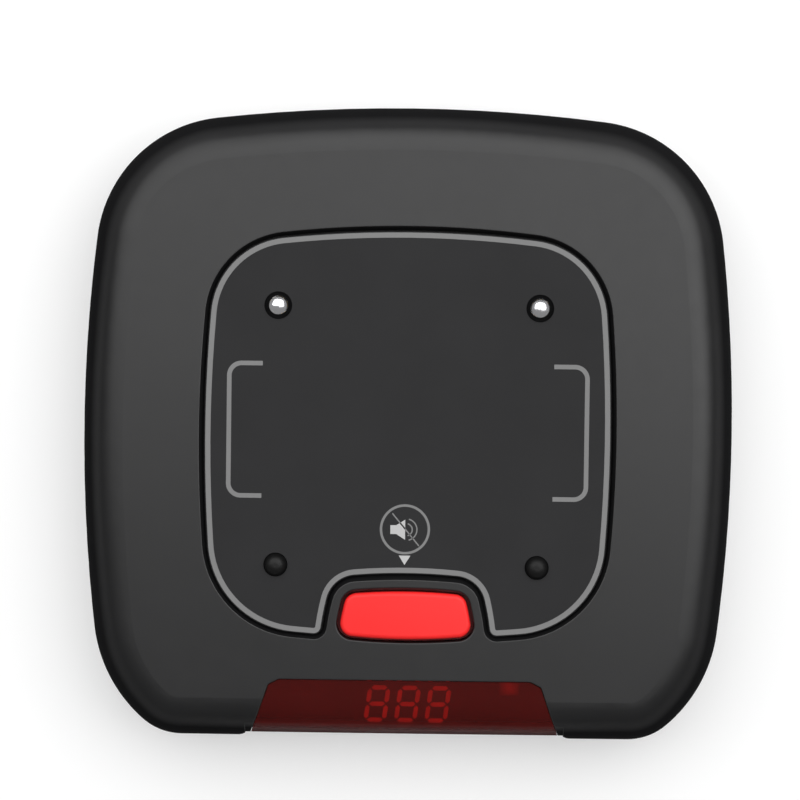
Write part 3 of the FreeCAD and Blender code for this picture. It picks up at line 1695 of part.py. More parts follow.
def board_parts():
    chip = block(
        "ChipBody",
        "chip_width",
        "chip_width",
        "chip_height",
        "chip_across",
        "chip_middle",
        f"{BOARD_TOP} + chip_lead_thickness",
    )
    node(chip, "microcontroller")
    leads = []
    for turn in range(4):
        for i in centred(CHIP_LEADS_A_SIDE):
            side = 1 if turn % 2 == 0 else -1
            far = f"{side} * (chip_width + chip_lead_reach) / 2"
            step = f"{i} * chip_lead_pitch"
            name = f"chip_lead_{len(leads)}"
            if turn < 2:
                sizes = ("chip_lead_reach", "chip_lead_width")
                here = (f"chip_across + {far}", f"chip_middle + {step}")
            else:
                sizes = ("chip_lead_width", "chip_lead_reach")
                here = (f"chip_across + {step}", f"chip_middle + {far}")
            leads.append(block(name, *sizes, "chip_lead_thickness * 2", *here, BOARD_TOP))
    node(group("ChipLeads", *leads), "chip_leads")
    can = block(
        "can_shell",
        "receiver_width",
        "receiver_depth",
        "receiver_height",
        "receiver_across",
        "receiver_middle",
        BOARD_TOP,
    )
    room = block(
        "can_room",
        "receiver_width - receiver_wall * 2",
        "receiver_depth - receiver_wall * 2",
        "receiver_height",
        "receiver_across",
        "receiver_middle",
        f"{BOARD_TOP} - receiver_wall",
    )
    node(cut("ReceiverCan", can, room), "receiver_can")
    chip = block(
        "ReceiverChip",
        "chip_width / 2",
        "chip_width / 2",
        "chip_height",
        "receiver_across",
        "receiver_middle",
        BOARD_TOP,
    )
    node(chip, "receiver_chip")
    crystal = block(
        "crystal_block",
        "crystal_length",
        "crystal_width",
        "crystal_height",
        "crystal_across",
        "crystal_middle",
        BOARD_TOP,
    )
    node(smoothed("CrystalCan", crystal, "crystal_rounding", upright), "crystal_can")
    chips = []
    for row in range(PART_ROWS):
        for i in range(PART_COLUMNS):
            x = f"part_across + {i} * part_column_pitch"
            y = f"part_front - {row} * part_row_pitch"
            chips.append(
                block(f"board_part_{len(chips)}", "part_length", "part_width", "part_height", x, y, BOARD_TOP)
            )
    node(group("BoardParts", *chips), "board_parts")

    reach = "(antenna_diameter - antenna_wire) / 2"
    helix = doc.addObject("Part::Helix", "antenna_helix")
    tie(helix, "Pitch", "antenna_pitch")
    tie(helix, "Height", "antenna_pitch * antenna_turns")
    tie(helix, "Radius", reach)
    ring = doc.addObject("Part::Circle", "antenna_ring")
    tie(ring, "Radius", "antenna_wire / 2")
    ring.Placement.Rotation = FreeCAD.Rotation(X_AXIS, 90)
    tie(ring, "Placement.Base.x", reach)
    coil = swept("Antenna", ring, helix)
    coil.Placement.Rotation = FreeCAD.Rotation(Z_AXIS, X_AXIS)
    place(
        coil,
        "antenna_across - antenna_pitch * antenna_turns / 2",
        "antenna_middle",
        f"{BOARD_TOP} + antenna_lift + antenna_diameter / 2",
    )
    node(coil, "antenna_coil")


# Leads: soft wires held inside the casing, as straight runs joined by tangent arcs
def lead(name, points):
    route = [FreeCAD.Vector(*(value(text) for text in point)) for point in points]
    path = []
    start = route[0]
    radii = []
    for before, here, after in zip(route, route[1:], route[2:]):
        arriving, leaving = here - before, after - here
        setback = value("lead_bend_share") * min(arriving.Length, leaving.Length)
        half_turn = arriving.getAngle(leaving) / 2
        radius = setback / math.tan(half_turn)
        arriving.normalize()
        leaving.normalize()
        inwards = leaving - arriving
        inwards.normalize()
        first, last = here - arriving * setback, here + leaving * setback
        middle = here + inwards * (radius / math.cos(half_turn) - radius)
        path += [Part.LineSegment(start, first), Part.Arc(first, middle, last)]
        radii.append(radius)
        start = last
    path.append(Part.LineSegment(start, route[-1]))
    wire = Part.Wire([piece.toShape() for piece in path])
    bore = value("lead_diameter / 2")
    ring = Part.Wire([Part.makeCircle(bore, route[0], route[1] - route[0])])
    item = doc.addObject("Part::Feature", name)
    item.Shape = wire.makePipeShell([ring], True, False)
    share = item.Shape.Volume / (math.pi * bore ** 2 * wire.Length)
    bends = [round(radius, 2) for radius in radii]
    print(f"{name}: radii {bends}, volume over section times length {share:.4f}")
    return node(item, name)


def all_leads():
    for colour, side in (("red", 1), ("black", -1)):
        y = f"socket_middle + {side} * lead_gap / 2"
        low = f"{FLOOR} + cell_thickness / 2"
        high = f"{BOARD_TOP} + socket_height / 2"
        turn_x = "board_width / 2 + turn_gap"
        lead(f"battery_lead_{colour}", [
            ("cell_across + cell_length / 2", y, low),
            ("cell_across + cell_length / 2 + cell_lead_run", y, low),
            (f"{turn_x} - turn_run", y, f"{low} - lead_dip"),
            (turn_x, y, f"{low} + lead_dip"),
            (turn_x, y, high),
            (PLUG_END, y, high),
        ])
        x = f"motor_across + {side} * lead_gap / 2"
        pad_y = f"motor_front - motor_lead_run - {side} * lead_gap"
        lead(f"motor_lead_{colour}", [
            (x, "motor_front", "motor_height"),
            (x, pad_y, "motor_height + lead_dip"),
            ("board_width / 2 - lead_landing", pad_y, f"{BOARD_TOP} + motor_lead_rise"),
            ("board_width / 2 - lead_landing", pad_y, BOARD_TOP),
        ])
        y = f"buzzer_middle + {side} * lead_gap"
        top = f"{FLOOR} + buzzer_height"
        lead(f"buzzer_lead_{colour}", [
            ("buzzer_across + buzzer_diameter / 4", y, top),
            ("buzzer_across + buzzer_diameter / 4", y, f"{BOARD_TOP} + buzzer_lead_rise"),
            ("lead_landing - board_width / 2", y, f"{BOARD_TOP} + buzzer_lead_rise"),
            ("lead_landing - board_width / 2", y, BOARD_TOP),
        ])


top_cover()
bottom_cover()
face_panel()
panel_adhesive()
display_window()
mute_button()
main_board()
display()
contacts()
fasteners()
tactile_switch()
battery()
motor()
buzzer()
board_parts()
all_leads()
doc.recompute()

for item in doc.Objects:
    if "Invalid" in item.State or "Error" in item.State:
        raise ValueError(f"{item.Label} failed: {item.State}")
for name, item in nodes.items():
    if item.Shape.isNull() or not item.Shape.isValid():
        raise ValueError(f"{name} has no valid shape")
for name, item in nodes.items():
    item.Shape.exportStep(f"parts/{name}.step")
print(len(nodes), "nodes")
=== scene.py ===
import json
import math
import bpy
from mathutils import Matrix, Vector


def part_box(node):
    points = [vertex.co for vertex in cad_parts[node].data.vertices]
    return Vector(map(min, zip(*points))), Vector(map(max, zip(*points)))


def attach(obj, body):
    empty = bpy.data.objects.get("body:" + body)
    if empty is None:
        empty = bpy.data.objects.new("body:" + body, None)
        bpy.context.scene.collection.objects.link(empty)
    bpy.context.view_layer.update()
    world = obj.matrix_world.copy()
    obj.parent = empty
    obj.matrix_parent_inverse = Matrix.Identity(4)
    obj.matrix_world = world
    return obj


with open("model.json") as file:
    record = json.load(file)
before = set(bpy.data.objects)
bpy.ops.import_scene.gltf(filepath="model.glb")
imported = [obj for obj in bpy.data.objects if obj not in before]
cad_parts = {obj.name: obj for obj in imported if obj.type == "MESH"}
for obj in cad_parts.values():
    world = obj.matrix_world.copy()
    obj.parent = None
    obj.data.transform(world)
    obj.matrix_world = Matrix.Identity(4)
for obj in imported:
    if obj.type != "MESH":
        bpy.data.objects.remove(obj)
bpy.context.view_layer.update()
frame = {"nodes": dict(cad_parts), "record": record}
MM = 0.001
nodes = frame["nodes"]
scene = bpy.context.scene
scene.view_settings.view_transform = "Standard"

# Camera: almost straight above, leaning three degrees to the rear and turned slightly
CAMERA_DISTANCE = 700 * MM
VIEW_WIDTH = 129.57 * MM
LOOK_AT = Vector((-1.31, 4.20, 19.6)) * MM
SENSOR_WIDTH = 36
LEAN_REAR, LEAN_RIGHT, ROLL = math.radians(3.0), math.radians(0.38), math.radians(0.72)
back = Vector((
    math.sin(LEAN_RIGHT) * math.cos(LEAN_REAR),
    math.sin(LEAN_REAR),
    math.cos(LEAN_RIGHT) * math.cos(LEAN_REAR),
))
across = Vector((0, 1, 0)).cross(back).normalized()
across = Matrix.Rotation(ROLL, 3, back) @ across
upward = back.cross(across)
lens = bpy.data.cameras.new("camera")
lens.sensor_width = SENSOR_WIDTH
lens.lens = SENSOR_WIDTH * CAMERA_DISTANCE / VIEW_WIDTH
lens.clip_start, lens.clip_end = 10 * MM, 10
camera = bpy.data.objects.new("camera", lens)
scene.collection.objects.link(camera)
placing = Matrix((across, upward, back)).transposed().to_4x4()
placing.translation = LOOK_AT + back * CAMERA_DISTANCE
camera.matrix_world = placing
scene.camera = camera


# Materials: the heights and lengths that these functions take are in millimetres
EDGE_TURN, BEVEL_SAMPLES = (0.8, 0.995), 8
SHELF_BLEND, REACH_BLEND = 0.1, 0.5
WEAVE_SCALE, WEAVE_HEIGHT, TRACK_SCALE, TRACK_EDGE = 600.0, 0.004, 260.0, (0.25, 0.32)
GLOW_GRAIN, GLOW_LOW, GLOW_HIGH = 900.0, 0.7, 1.2


def shader(name):
    material = bpy.data.materials.new(name)
    material.use_nodes = True
    tree = material.node_tree
    return material, tree.nodes, tree.links, tree.nodes["Principled BSDF"]


def grain(parts, links, scale, detail=2.0, roughness=0.5, stretch=None):
    """A noise value over the object's own coordinates, stretched along an axis where asked."""
    place = parts.new("ShaderNodeTexCoord").outputs["Object"]
    if stretch is not None:
        mapping = parts.new("ShaderNodeMapping")
        mapping.inputs["Scale"].default_value = stretch
        links.new(place, mapping.inputs["Vector"])
        place = mapping.outputs["Vector"]
    texture = parts.new("ShaderNodeTexNoise")
    texture.inputs["Scale"].default_value = scale
    texture.inputs["Detail"].default_value = detail
    texture.inputs["Roughness"].default_value = roughness
    links.new(place, texture.inputs["Vector"])
    return texture.outputs["Fac"]


def spread(parts, links, source, low, high, begin=0.3, end=0.7):
    """Maps a value, from one end of a band to the other, to a range."""
    ramp = parts.new("ShaderNodeMapRange")
    ramp.inputs["From Min"].default_value = begin
    ramp.inputs["From Max"].default_value = end
    ramp.inputs["To Min"].default_value = low
    ramp.inputs["To Max"].default_value = high
    links.new(source, ramp.inputs["Value"])
    return ramp.outputs["Result"]


def blended(parts, links, factor, first, second):
    mix = parts.new("ShaderNodeMix")
    mix.data_type = "RGBA"
    mix.inputs["A"].default_value = (*first, 1)
    mix.inputs["B"].default_value = (*second, 1)
    links.new(factor, mix.inputs["Factor"])
    return mix.outputs["Result"]


def combined(parts, links, operation, first, second):
    """The sum, the product or the larger one of two values."""
    step = parts.new("ShaderNodeMath")
    step.operation = operation
    links.new(first, step.inputs[0])
    links.new(second, step.inputs[1])
    return step.outputs["Value"]


def bumped(parts, links, bsdf, source, height):
    bump = parts.new("ShaderNodeBump")
    bump.inputs["Strength"].default_value = 1.0
    bump.inputs["Distance"].default_value = height * MM
    links.new(source, bump.inputs["Height"])
    links.new(bump.outputs["Normal"], bsdf.inputs["Normal"])


def surface(name, colour, roughness, metallic=0.0, specular=0.5, grain_scale=6000.0, grain_height=0.002,
            vary=0.1, rough_vary=0.05, patch_scale=80.0, stretch=None):
    """A surface with grain, uneven gloss and slight changes of colour."""
    material, parts, links, bsdf = shader(name)
    bsdf.inputs["Metallic"].default_value = metallic
    bsdf.inputs["Specular IOR Level"].default_value = specular
    patches = spread(parts, links, grain(parts, links, patch_scale, 3.0), 0.0, 1.0)
    darker = [c * (1 - vary) for c in colour]
    lighter = [min(1, c * (1 + vary)) for c in colour]
    links.new(blended(parts, links, patches, darker, lighter), bsdf.inputs["Base Color"])
    smudges = grain(parts, links, patch_scale * 5, 4.0)
    gloss = spread(parts, links, smudges, roughness - rough_vary, roughness + rough_vary)
    links.new(gloss, bsdf.inputs["Roughness"])
    bumped(parts, links, bsdf, grain(parts, links, grain_scale, 3.0, 0.6, stretch), grain_height)
    return material


def height_in(parts, links):
    """The height of a point in the object's own coordinates."""
    split = parts.new("ShaderNodeSeparateXYZ")
    links.new(parts.new("ShaderNodeTexCoord").outputs["Object"], split.inputs["Vector"])
    return split.outputs["Z"]


def matt_below(material, low, high, extra):
    """Leaves a surface rougher below a height, where no hand polishes it."""
    parts, links = material.node_tree.nodes, material.node_tree.links
    bsdf = parts["Principled BSDF"]
    wear_and_highlight = spread(parts, links, height_in(parts, links), extra, 0.0, low * MM, high * MM)
    smooth = bsdf.inputs["Roughness"].links[0].from_socket
    links.new(combined(parts, links, "ADD", smooth, wear_and_highlight), bsdf.inputs["Roughness"])
    return material


def painted_shade_gloss_off(material, low, high, shelf, reach, share):
    """Paints shade by taking the gloss off the outer sides below a height, and off the shelf within a reach
    of the middle.
    """
    parts, links = material.node_tree.nodes, material.node_tree.links
    gloss = parts["Principled BSDF"].inputs["Specular IOR Level"]
    height = height_in(parts, links)
    full = gloss.default_value
    outer = spread(parts, links, height, share * full, full, low * MM, high * MM)
    above = spread(parts, links, height, share, 1.0, shelf * MM, (shelf + SHELF_BLEND) * MM)
    length = parts.new("ShaderNodeVectorMath")
    length.operation = "LENGTH"
    links.new(parts.new("ShaderNodeTexCoord").outputs["Object"], length.inputs[0])
    away = spread(parts, links, length.outputs["Value"], 0.0, 1.0, reach * MM, (reach + REACH_BLEND) * MM)
    off_shelf = combined(parts, links, "MAXIMUM", above, away)
    # painted shade: the specular level drops to a share of itself low on the outer sides and on the shelf
    # near the middle
    links.new(combined(parts, links, "MULTIPLY", outer, off_shelf), gloss)
    return material


def painted_shade_below(material, low, high, share):
    """Paints shade into a colour below a height: on the thick foot of the window, and on the button's flanks
    in their gap.
    """
    parts, links = material.node_tree.nodes, material.node_tree.links
    bsdf = parts["Principled BSDF"]
    dimmed = parts.new("ShaderNodeVectorMath")
    dimmed.operation = "SCALE"
    links.new(bsdf.inputs["Base Color"].links[0].from_socket, dimmed.inputs[0])
    # painted shade: the base colour is scaled down towards the share below the lower height
    depth = spread(parts, links, height_in(parts, links), share, 1.0, low * MM, high * MM)
    links.new(depth, dimmed.inputs["Scale"])
    links.new(dimmed.outputs["Vector"], bsdf.inputs["Base Color"])
    return material


def soft_edges_painted_highlight(material, radius, wear_and_highlight):
    """Lets the sharp edges of a moulding catch the light as if slightly rounded, and paints a highlight along
    them in a lighter colour.
    """
    parts, links = material.node_tree.nodes, material.node_tree.links
    bsdf = parts["Principled BSDF"]
    bevel = parts.new("ShaderNodeBevel")
    bevel.samples = BEVEL_SAMPLES
    bevel.inputs["Radius"].default_value = radius * MM
    bump = next(part for part in parts if part.bl_idname == "ShaderNodeBump")
    links.new(bevel.outputs["Normal"], bump.inputs["Normal"])
    turned = parts.new("ShaderNodeVectorMath")
    turned.operation = "DOT_PRODUCT"
    links.new(bevel.outputs["Normal"], turned.inputs[0])
    links.new(parts.new("ShaderNodeNewGeometry").outputs["Normal"], turned.inputs[1])
    # painted highlight: the colour along sharp edges is mixed towards a lighter grey
    painted_highlight = parts.new("ShaderNodeMix")
    painted_highlight.data_type = "RGBA"
    edge = spread(parts, links, turned.outputs["Value"], 1.0, 0.0, *EDGE_TURN)
    links.new(edge, painted_highlight.inputs["Factor"])
    links.new(bsdf.inputs["Base Color"].links[0].from_socket, painted_highlight.inputs["A"])
    painted_highlight.inputs["B"].default_value = (wear_and_highlight, wear_and_highlight, wear_and_highlight, 1)
    links.new(painted_highlight.outputs["Result"], bsdf.inputs["Base Color"])
    return material


def plastic(name, colour, roughness, specular=0.4, height=0.0015):
    return surface(name, colour, roughness, specular=specular, grain_height=height)


def metal(name, colour, roughness, stretch=None, height=0.0006):
    return surface(name, colour, roughness, metallic=1.0, vary=0.05, grain_scale=2500.0, grain_height=height,
                   stretch=stretch)


def laminate(name):
    """Solder mask over glass weave, with the copper under it showing lighter."""
    material = surface(name, (0.012, 0.09, 0.035), 0.35, grain_height=0.0)
    parts, links = material.node_tree.nodes, material.node_tree.links
    bsdf = parts["Principled BSDF"]
    place = parts.new("ShaderNodeTexCoord").outputs["Object"]
    weave = None
    for direction in ("X", "Y"):
        wave = parts.new("ShaderNodeTexWave")
        wave.bands_direction = direction
        wave.inputs["Scale"].default_value = WEAVE_SCALE
        links.new(place, wave.inputs["Vector"])
        bands = wave.outputs["Fac"]
        weave = bands if weave is None else combined(parts, links, "MULTIPLY", weave, bands)
    bumped(parts, links, bsdf, weave, WEAVE_HEIGHT)
    cells = parts.new("ShaderNodeTexVoronoi")
    cells.distance = "MANHATTAN"
    cells.inputs["Scale"].default_value = TRACK_SCALE
    links.new(place, cells.inputs["Vector"])
    tracks = spread(parts, links, cells.outputs["Distance"], 0.0, 1.0, *TRACK_EDGE)
    over_copper, over_glass = (0.02, 0.14, 0.05), (0.01, 0.075, 0.03)
    links.new(blended(parts, links, tracks, over_copper, over_glass), bsdf.inputs["Base Color"])
    return material


def smoked_red(name):
    """Translucent red plastic: some light goes through, some is scattered in its body."""
    colour = (0.34, 0.044, 0.039)
    material = surface(name, colour, 0.16, specular=0.1, grain_height=0.0008, vary=0.06, rough_vary=0.03)
    bsdf = material.node_tree.nodes["Principled BSDF"]
    bsdf.inputs["IOR"].default_value = 1.13
    bsdf.inputs["Transmission Weight"].default_value = 0.86
    return material


def glowing(name, colour, strength, unlit):
    """A diffusing resin that glows unevenly: lit from inside for the LED, and a painted glow for the display
    segments.
    """
    material = surface(name, unlit, 0.3)
    parts, links = material.node_tree.nodes, material.node_tree.links
    bsdf = parts["Principled BSDF"]
    bsdf.inputs["Emission Color"].default_value = (*colour, 1)
    uneven = spread(parts, links, grain(parts, links, GLOW_GRAIN), strength * GLOW_LOW, strength * GLOW_HIGH)
    links.new(uneven, bsdf.inputs["Emission Strength"])
    return material


def lit_around(material, centre, radius):
    """Keeps a glow to one place, given in metres, and lets it fade towards a radius."""
    parts, links = material.node_tree.nodes, material.node_tree.links
    bsdf = parts["Principled BSDF"]
    gap = parts.new("ShaderNodeVectorMath")
    gap.operation = "DISTANCE"
    links.new(parts.new("ShaderNodeTexCoord").outputs["Object"], gap.inputs[0])
    gap.inputs[1].default_value = centre
    near = spread(parts, links, gap.outputs["Value"], 1.0, 0.0, 0.0, radius * MM)
    near.node.interpolation_type = "SMOOTHSTEP"
    glow = bsdf.inputs["Emission Strength"].links[0].from_socket
    links.new(combined(parts, links, "MULTIPLY", glow, near), bsdf.inputs["Emission Strength"])
    return material


def sheathed(name, colour):
    """Soft insulation with a dull skin."""
    return surface(name, colour, 0.42, specular=0.35, grain_scale=3000.0, grain_height=0.003,
                   patch_scale=200.0)


# Scales of a metal's grain along the three axes: below 1 draws it out, above 1 squeezes it
DRAWN, TURNED, STAMPED, ROLLED = (1.0, 1.0, 0.05), (1.0, 1.0, 8.0), (1.0, 1.0, 6.0), (6.0, 0.3, 6.0)
PANEL_REACH, LED_MIDDLE, LED_GLOW = 43.0, 1.6, 2.3
# Depths under the face panel's top, at the lower and the upper end of each change
CASING_MATT, CASING_PAINTED_SHADE = (2.8, 1.0), (2.8, 0.2)
WINDOW_MATT, WINDOW_PAINTED_SHADE = (4.6, 2.1), (5.6, 2.1)
# Depths under the button's top, where the painted shade on its flanks begins and ends
BUTTON_FLANK, BUTTON_EDGE = 1.4, 0.75
PANEL_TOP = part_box("face_panel")[1][2]
shelf_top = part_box("panel_adhesive")[0][2] / MM
button_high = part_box("mute_button")[1][2] / MM
led_low, led_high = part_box("flash_leds")
led_place = (led_high[0] - LED_MIDDLE * MM, (led_low[1] + led_high[1]) / 2, led_high[2])


def under_panel(depths):
    """The heights at some depths under the face panel's top."""
    return [PANEL_TOP / MM - depth for depth in depths]


casing = surface("casing", (0.009, 0.009, 0.0095), 0.34, specular=0.5, grain_scale=5200.0,
                 grain_height=0.0025, vary=0.08, rough_vary=0.02)
casing = matt_below(casing, *under_panel(CASING_MATT), extra=0.6)
# painted shade: the casing's gloss is taken off its lower outer sides and off the shelf round the middle
casing = painted_shade_gloss_off(casing, *under_panel(CASING_PAINTED_SHADE), shelf_top, PANEL_REACH, share=0.05)
# painted highlight: a lighter colour along the casing's sharp edges, such as the lip round the panel
casing = soft_edges_painted_highlight(casing, radius=0.2, wear_and_highlight=0.07)
panel_sheet = surface("panel_sheet", (0.025, 0.025, 0.026), 0.5, specular=0.1, grain_scale=9000.0,
                      grain_height=0.0015, vary=0.05, rough_vary=0.03)
window = matt_below(smoked_red("smoked_red"), *under_panel(WINDOW_MATT), extra=0.7)
# painted shade: the window's colour darkens towards its foot
window = painted_shade_below(window, *under_panel(WINDOW_PAINTED_SHADE), share=0.3)
button = surface("button_red", (0.95, 0.022, 0.022), 0.38, specular=0.3, grain_height=0.0015, vary=0.02)
# painted shade: the button's flanks darken down into the gap round it
button = painted_shade_below(button, button_high - BUTTON_FLANK, button_high - BUTTON_EDGE, share=0.25)
led = glowing("led_resin", (1.0, 0.1, 0.06), 0.34, (0.08, 0.008, 0.006))
led = lit_around(led, led_place, LED_GLOW)
materials = {
    "case_plastic": casing,
    "panel_plastic": panel_sheet,
    "adhesive_film": plastic("adhesive", (0.6, 0.6, 0.56), 0.5),
    "window_red": window,
    "button_red": button,
    "contact_chrome": metal("chrome", (0.9, 0.9, 0.92), 0.2),
    "post_rubber": surface("post_rubber", (0.004, 0.004, 0.004), 0.42, specular=0.25, grain_height=0.002),
    "foot_rubber": surface("foot_rubber", (0.03, 0.03, 0.03), 0.75, specular=0.3, grain_scale=4000.0,
                           grain_height=0.006),
    "brass": metal("brass", (0.78, 0.58, 0.27), 0.28, TURNED),
    "spring_steel": metal("spring_steel", (0.55, 0.55, 0.56), 0.3, DRAWN),
    "screw_steel": metal("screw_steel", (0.52, 0.52, 0.54), 0.3, STAMPED),
    "tinned_metal": metal("tinned_metal", (0.66, 0.66, 0.65), 0.34),
    "motor_steel": metal("motor_steel", (0.6, 0.6, 0.6), 0.25, ROLLED),
    "weight_metal": metal("weight_metal", (0.3, 0.3, 0.32), 0.5, height=0.004),
    "board_laminate": laminate("board_laminate"),
    "component_black": surface("component_black", (0.018, 0.018, 0.018), 0.55, grain_scale=4000.0,
                               grain_height=0.006),
    # painted light: the display segments glow in place of the light that reaches them through the window
    "segment_red": glowing("segment_painted_glow", (1.0, 0.13, 0.09), 0.43, (1.0, 0.13, 0.09)),
    "led_epoxy": led,
    "stem_plastic": plastic("stem_nylon", (0.06, 0.06, 0.06), 0.5),
    "copper_wire": metal("copper", (0.72, 0.33, 0.18), 0.3, DRAWN),
    "cell_foil": metal("cell_foil", (0.62, 0.62, 0.63), 0.38, height=0.02),
    "tape_white": surface("foam_tape", (0.75, 0.75, 0.72), 0.85, specular=0.2, grain_scale=3500.0,
                          grain_height=0.02),
    "connector_white": plastic("connector_nylon", (0.78, 0.77, 0.7), 0.45),
    "lead_red": sheathed("lead_red", (0.6, 0.02, 0.02)),
    "lead_black": sheathed("lead_black", (0.015, 0.015, 0.015)),
}
for subpart in frame["record"]["subparts"]:
    mesh = nodes[subpart["node"]].data
    mesh.materials.clear()
    mesh.materials.append(materials[subpart["material_slot"]])

grey_ink = surface("grey_ink", (0.205, 0.205, 0.205), 0.5, specular=0.2, vary=0.03, rough_vary=0.03)
white_ink = surface("white_ink", (0.5, 0.5, 0.5), 0.5, specular=0.2, vary=0.03, rough_vary=0.03)


# Printed marks: thin films of ink on the face panel. Sizes without MM are in millimetres.
INK_THICKNESS = 0.015 * MM
BORDER_START = 0.05 * MM
BORDER_WIDTH = 0.84 * MM
BRACKET_WIDTH = 0.74 * MM
NEAREST_SHARE = 0.97
LEVEL_TOLERANCE = 0.001 * MM
ICON_LINE = 0.4 * MM
FINE_LINE = 0.21 * MM
ICON_X, ICON_Y = -0.25, -16.8
RING_RADIUS, RING_STEPS = 3.88, 72
WAVE_X, WAVE_Y, WAVE_RADII, WAVE_HALF_TURN = 0.2, -0.05, (0.99, 1.75), 76
SLASH_START, SLASH_END = (-2.06, 2.58), (2.3, -2.68)
HORN_Y, HORN_HALF = -0.06, ((-2.36, 0.72), (-1.4, 0.72), (0.04, 1.64))
ARROW_TOP, ARROW_LOW, ARROW_HALF, TIP_HALF = -4.27, -5.77, 0.95, 0.02


def film(name, outlines, material):
    """A flat film of ink. Each outline is a pair of equally long rows of points, joined crosswise."""
    points, faces = [], []
    low, high = PANEL_TOP - INK_THICKNESS, PANEL_TOP + INK_THICKNESS
    for first, second, closed in outlines:
        begin = len(points)
        count = len(first)
        for left, right in zip(first, second):
            points += [(*left, low), (*left, high), (*right, high), (*right, low)]
        steps = range(count if closed else count - 1)
        for i in steps:
            here, there = begin + 4 * i, begin + 4 * ((i + 1) % count)
            for k in range(4):
                faces.append((here + k, here + (k + 1) % 4, there + (k + 1) % 4, there + k))
        if not closed:
            last = begin + 4 * (count - 1)
            faces += [(begin + 3, begin + 2, begin + 1, begin), (last, last + 1, last + 2, last + 3)]
    mesh = bpy.data.meshes.new(name)
    mesh.from_pydata(points, [], faces)
    mesh.update()
    mesh.materials.append(material)
    piece = bpy.data.objects.new(name, mesh)
    scene.collection.objects.link(piece)
    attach(piece, "case")
    return piece


def offset_row(row, distance, closed):
    """The same row of points, moved sideways to its left by a distance."""
    moved = []
    count = len(row)
    for i, point in enumerate(row):
        before = row[(i - 1) % count] if closed or i > 0 else point
        after = row[(i + 1) % count] if closed or i < count - 1 else point
        ahead = Vector((after[0] - before[0], after[1] - before[1])).normalized()
        moved.append((point[0] - ahead.y * distance, point[1] + ahead.x * distance))
    return moved


def joined_corners(moved, row, distance):
    """Draws points of a moved closed row together where they came too near to the row itself."""
    kept = []
    for point in moved:
        kept.append(all(math.dist(point, other) > NEAREST_SHARE * distance for other in row))
    count = len(moved)
    joined = []
    for i in range(count):
        steps = next(n for n in range(count) if kept[(i - n) % count] or kept[(i + n) % count])
        joined.append(moved[(i - steps) % count] if kept[(i - steps) % count] else moved[(i + steps) % count])
    return joined


def line(row, width, closed=False):
    """The two sides of a line of the given width along a row of points."""
    return offset_row(row, -width / 2, closed), offset_row(row, width / 2, closed), closed


def arc_row(centre, radius, begin, end, steps=24):
    """Points in metres on an arc given in millimetres and degrees."""
    turns = (math.radians(begin + (end - begin) * i / steps) for i in range(steps + 1))
    x, y = centre
    return [((x + radius * math.cos(t)) * MM, (y + radius * math.sin(t)) * MM) for t in turns]


def straight_row(*points):
    """Points in metres, given in millimetres."""
    return [(x * MM, y * MM) for x, y in points]


def panel_outline():
    """The outer edge of the face panel's top, anticlockwise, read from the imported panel."""
    mesh = nodes["face_panel"].data
    level = PANEL_TOP - LEVEL_TOLERANCE
    edges = {}
    for face in mesh.polygons:
        if face.normal.z > 0.99 and all(mesh.vertices[v].co.z > level for v in face.vertices):
            row = [tuple(round(c, 7) for c in mesh.vertices[v].co.xy) for v in face.vertices]
            for a, b in zip(row, row[1:] + row[:1]):
                if (b, a) in edges:
                    del edges[(b, a)]
                else:
                    edges[(a, b)] = True
    following = {a: b for a, b in edges}
    loops = []
    while following:
        start, here = following.popitem()
        loop = [start]
        while here != start:
            loop.append(here)
            here = following.pop(here)
        loops.append(loop)
    return max(loops, key=len)


outline = panel_outline()
inner_edge = BORDER_START + BORDER_WIDTH
outer_row = offset_row(outline, BORDER_START, True)
inner_row = joined_corners(offset_row(outline, inner_edge, True), outline, inner_edge)
film("printed_border", [(outer_row, inner_row, True)], grey_ink)

BRACKET_X, BRACKET_ARM, BRACKET_TOP, BRACKET_LOW, BRACKET_TURN = 29.0, 23.6, 9.89, -11.61, 2.0
brackets = []
for side in (-1, 1):
    inner = BRACKET_X - BRACKET_TURN
    row = straight_row((BRACKET_ARM, BRACKET_TOP))
    row += arc_row((inner, BRACKET_TOP - BRACKET_TURN), BRACKET_TURN, 90, 0)
    row += arc_row((inner, BRACKET_LOW + BRACKET_TURN), BRACKET_TURN, 0, -90)
    row += straight_row((BRACKET_ARM, BRACKET_LOW))
    brackets.append(line([(side * x, y) for x, y in row], BRACKET_WIDTH))
film("printed_brackets", brackets, grey_ink)


def icon_row(*points):
    """Points in metres, given in millimetres from the middle of the mute sign."""
    return straight_row(*((ICON_X + x, ICON_Y + y) for x, y in points))


ring = arc_row((ICON_X, ICON_Y), RING_RADIUS, 0, 360, RING_STEPS)[:-1]
film("icon_ring", [line(ring, ICON_LINE, True)], grey_ink)
waves = []
for radius in WAVE_RADII:
    wave = arc_row((ICON_X + WAVE_X, ICON_Y + WAVE_Y), radius, -WAVE_HALF_TURN, WAVE_HALF_TURN)
    waves.append(line(wave, FINE_LINE))
film("icon_waves", waves, grey_ink)
film("icon_slash", [line(icon_row(SLASH_START, SLASH_END), FINE_LINE)], grey_ink)
horn_top = icon_row(*((x, HORN_Y + y) for x, y in HORN_HALF))
horn_low = icon_row(*((x, HORN_Y - y) for x, y in HORN_HALF))
film("icon_speaker", [(horn_low, horn_top, False)], white_ink)
arrow_left = icon_row((-TIP_HALF, ARROW_LOW), (-ARROW_HALF, ARROW_TOP))
arrow_right = icon_row((TIP_HALF, ARROW_LOW), (ARROW_HALF, ARROW_TOP))
film("icon_arrow", [(arrow_left, arrow_right, False)], white_ink)


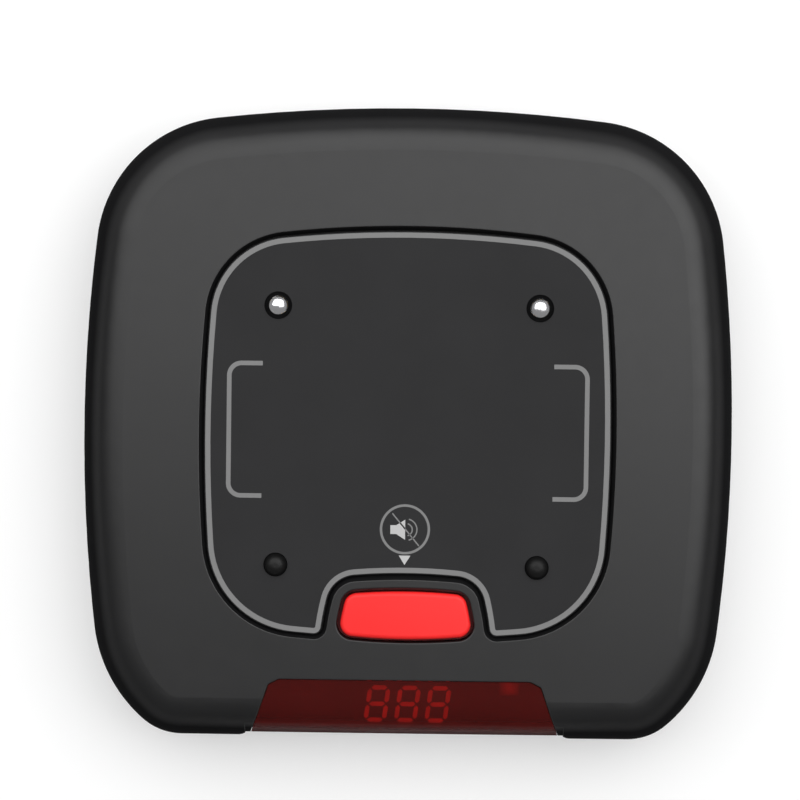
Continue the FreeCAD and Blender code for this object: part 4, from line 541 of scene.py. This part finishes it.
# Stage: a pale floor that looks white to the camera, in metal and through the window
FLOOR_COLOUR, FLOOR_LIFT, FLOOR_HALF, WORLD_LEVEL = 0.6, 0.42, 2, 0.25
corners = [(x * FLOOR_HALF, y * FLOOR_HALF, 0) for x, y in ((-1, -1), (1, -1), (1, 1), (-1, 1))]
floor_mesh = bpy.data.meshes.new("floor")
floor_mesh.from_pydata(corners, [], [(0, 1, 2, 3)])
floor = bpy.data.objects.new("floor", floor_mesh)
scene.collection.objects.link(floor)
floor_paint, parts, links, bsdf = shader("floor_paint")
bsdf.inputs["Base Color"].default_value = (FLOOR_COLOUR, FLOOR_COLOUR, FLOOR_COLOUR, 1)
bsdf.inputs["Roughness"].default_value = 0.9
bsdf.inputs["Specular IOR Level"].default_value = 0.0
bsdf.inputs["Emission Color"].default_value = (1, 1, 1, 1)
path = parts.new("ShaderNodeLightPath")
seen = path.outputs["Is Camera Ray"]
for kind in ("Is Glossy Ray", "Is Transmission Ray"):
    seen = combined(parts, links, "MAXIMUM", seen, path.outputs[kind])
lift = parts.new("ShaderNodeMath")
lift.operation = "MULTIPLY"
lift.inputs[1].default_value = FLOOR_LIFT
links.new(seen, lift.inputs[0])
links.new(lift.outputs["Value"], bsdf.inputs["Emission Strength"])
floor_mesh.materials.append(floor_paint)

world = bpy.data.worlds.new("world")
scene.world = world
world.use_nodes = True
background = world.node_tree.nodes["Background"]
background.inputs["Color"].default_value = (1, 1, 1, 1)
background.inputs["Strength"].default_value = WORLD_LEVEL


def softbox(name, place, turn, size, radiance):
    """A wide lamp that hangs level and faces straight down."""
    data = bpy.data.lights.new(name, "AREA")
    data.shape = "RECTANGLE"
    data.size, data.size_y = size
    data.energy = math.pi * size[0] * size[1] * radiance
    lamp = bpy.data.objects.new(name, data)
    scene.collection.objects.link(lamp)
    lamp.location = place
    lamp.rotation_euler = (0, 0, math.radians(turn))


# Lamp sizes and places in metres
MAIN_SIZE, MAIN_HEIGHT, MAIN_TURN, MAIN_EDGE, MAIN_LEVEL = (3.4, 2.2), 1.2, -5.0, -0.11, 1.8
SIDE_SIZE, SIDE_PLACE, SIDE_LEVEL = (1.3, 1.5), (0.85, 0.35, 1.19), 0.6
rearward = Matrix.Rotation(math.radians(MAIN_TURN), 3, "Z") @ Vector((0, 1, 0))
spot = rearward * (MAIN_EDGE + MAIN_SIZE[1] / 2)
softbox("overhead_softbox", (spot.x, spot.y, MAIN_HEIGHT), MAIN_TURN, MAIN_SIZE, MAIN_LEVEL)
softbox("side_softbox", SIDE_PLACE, 0.0, SIDE_SIZE, SIDE_LEVEL)
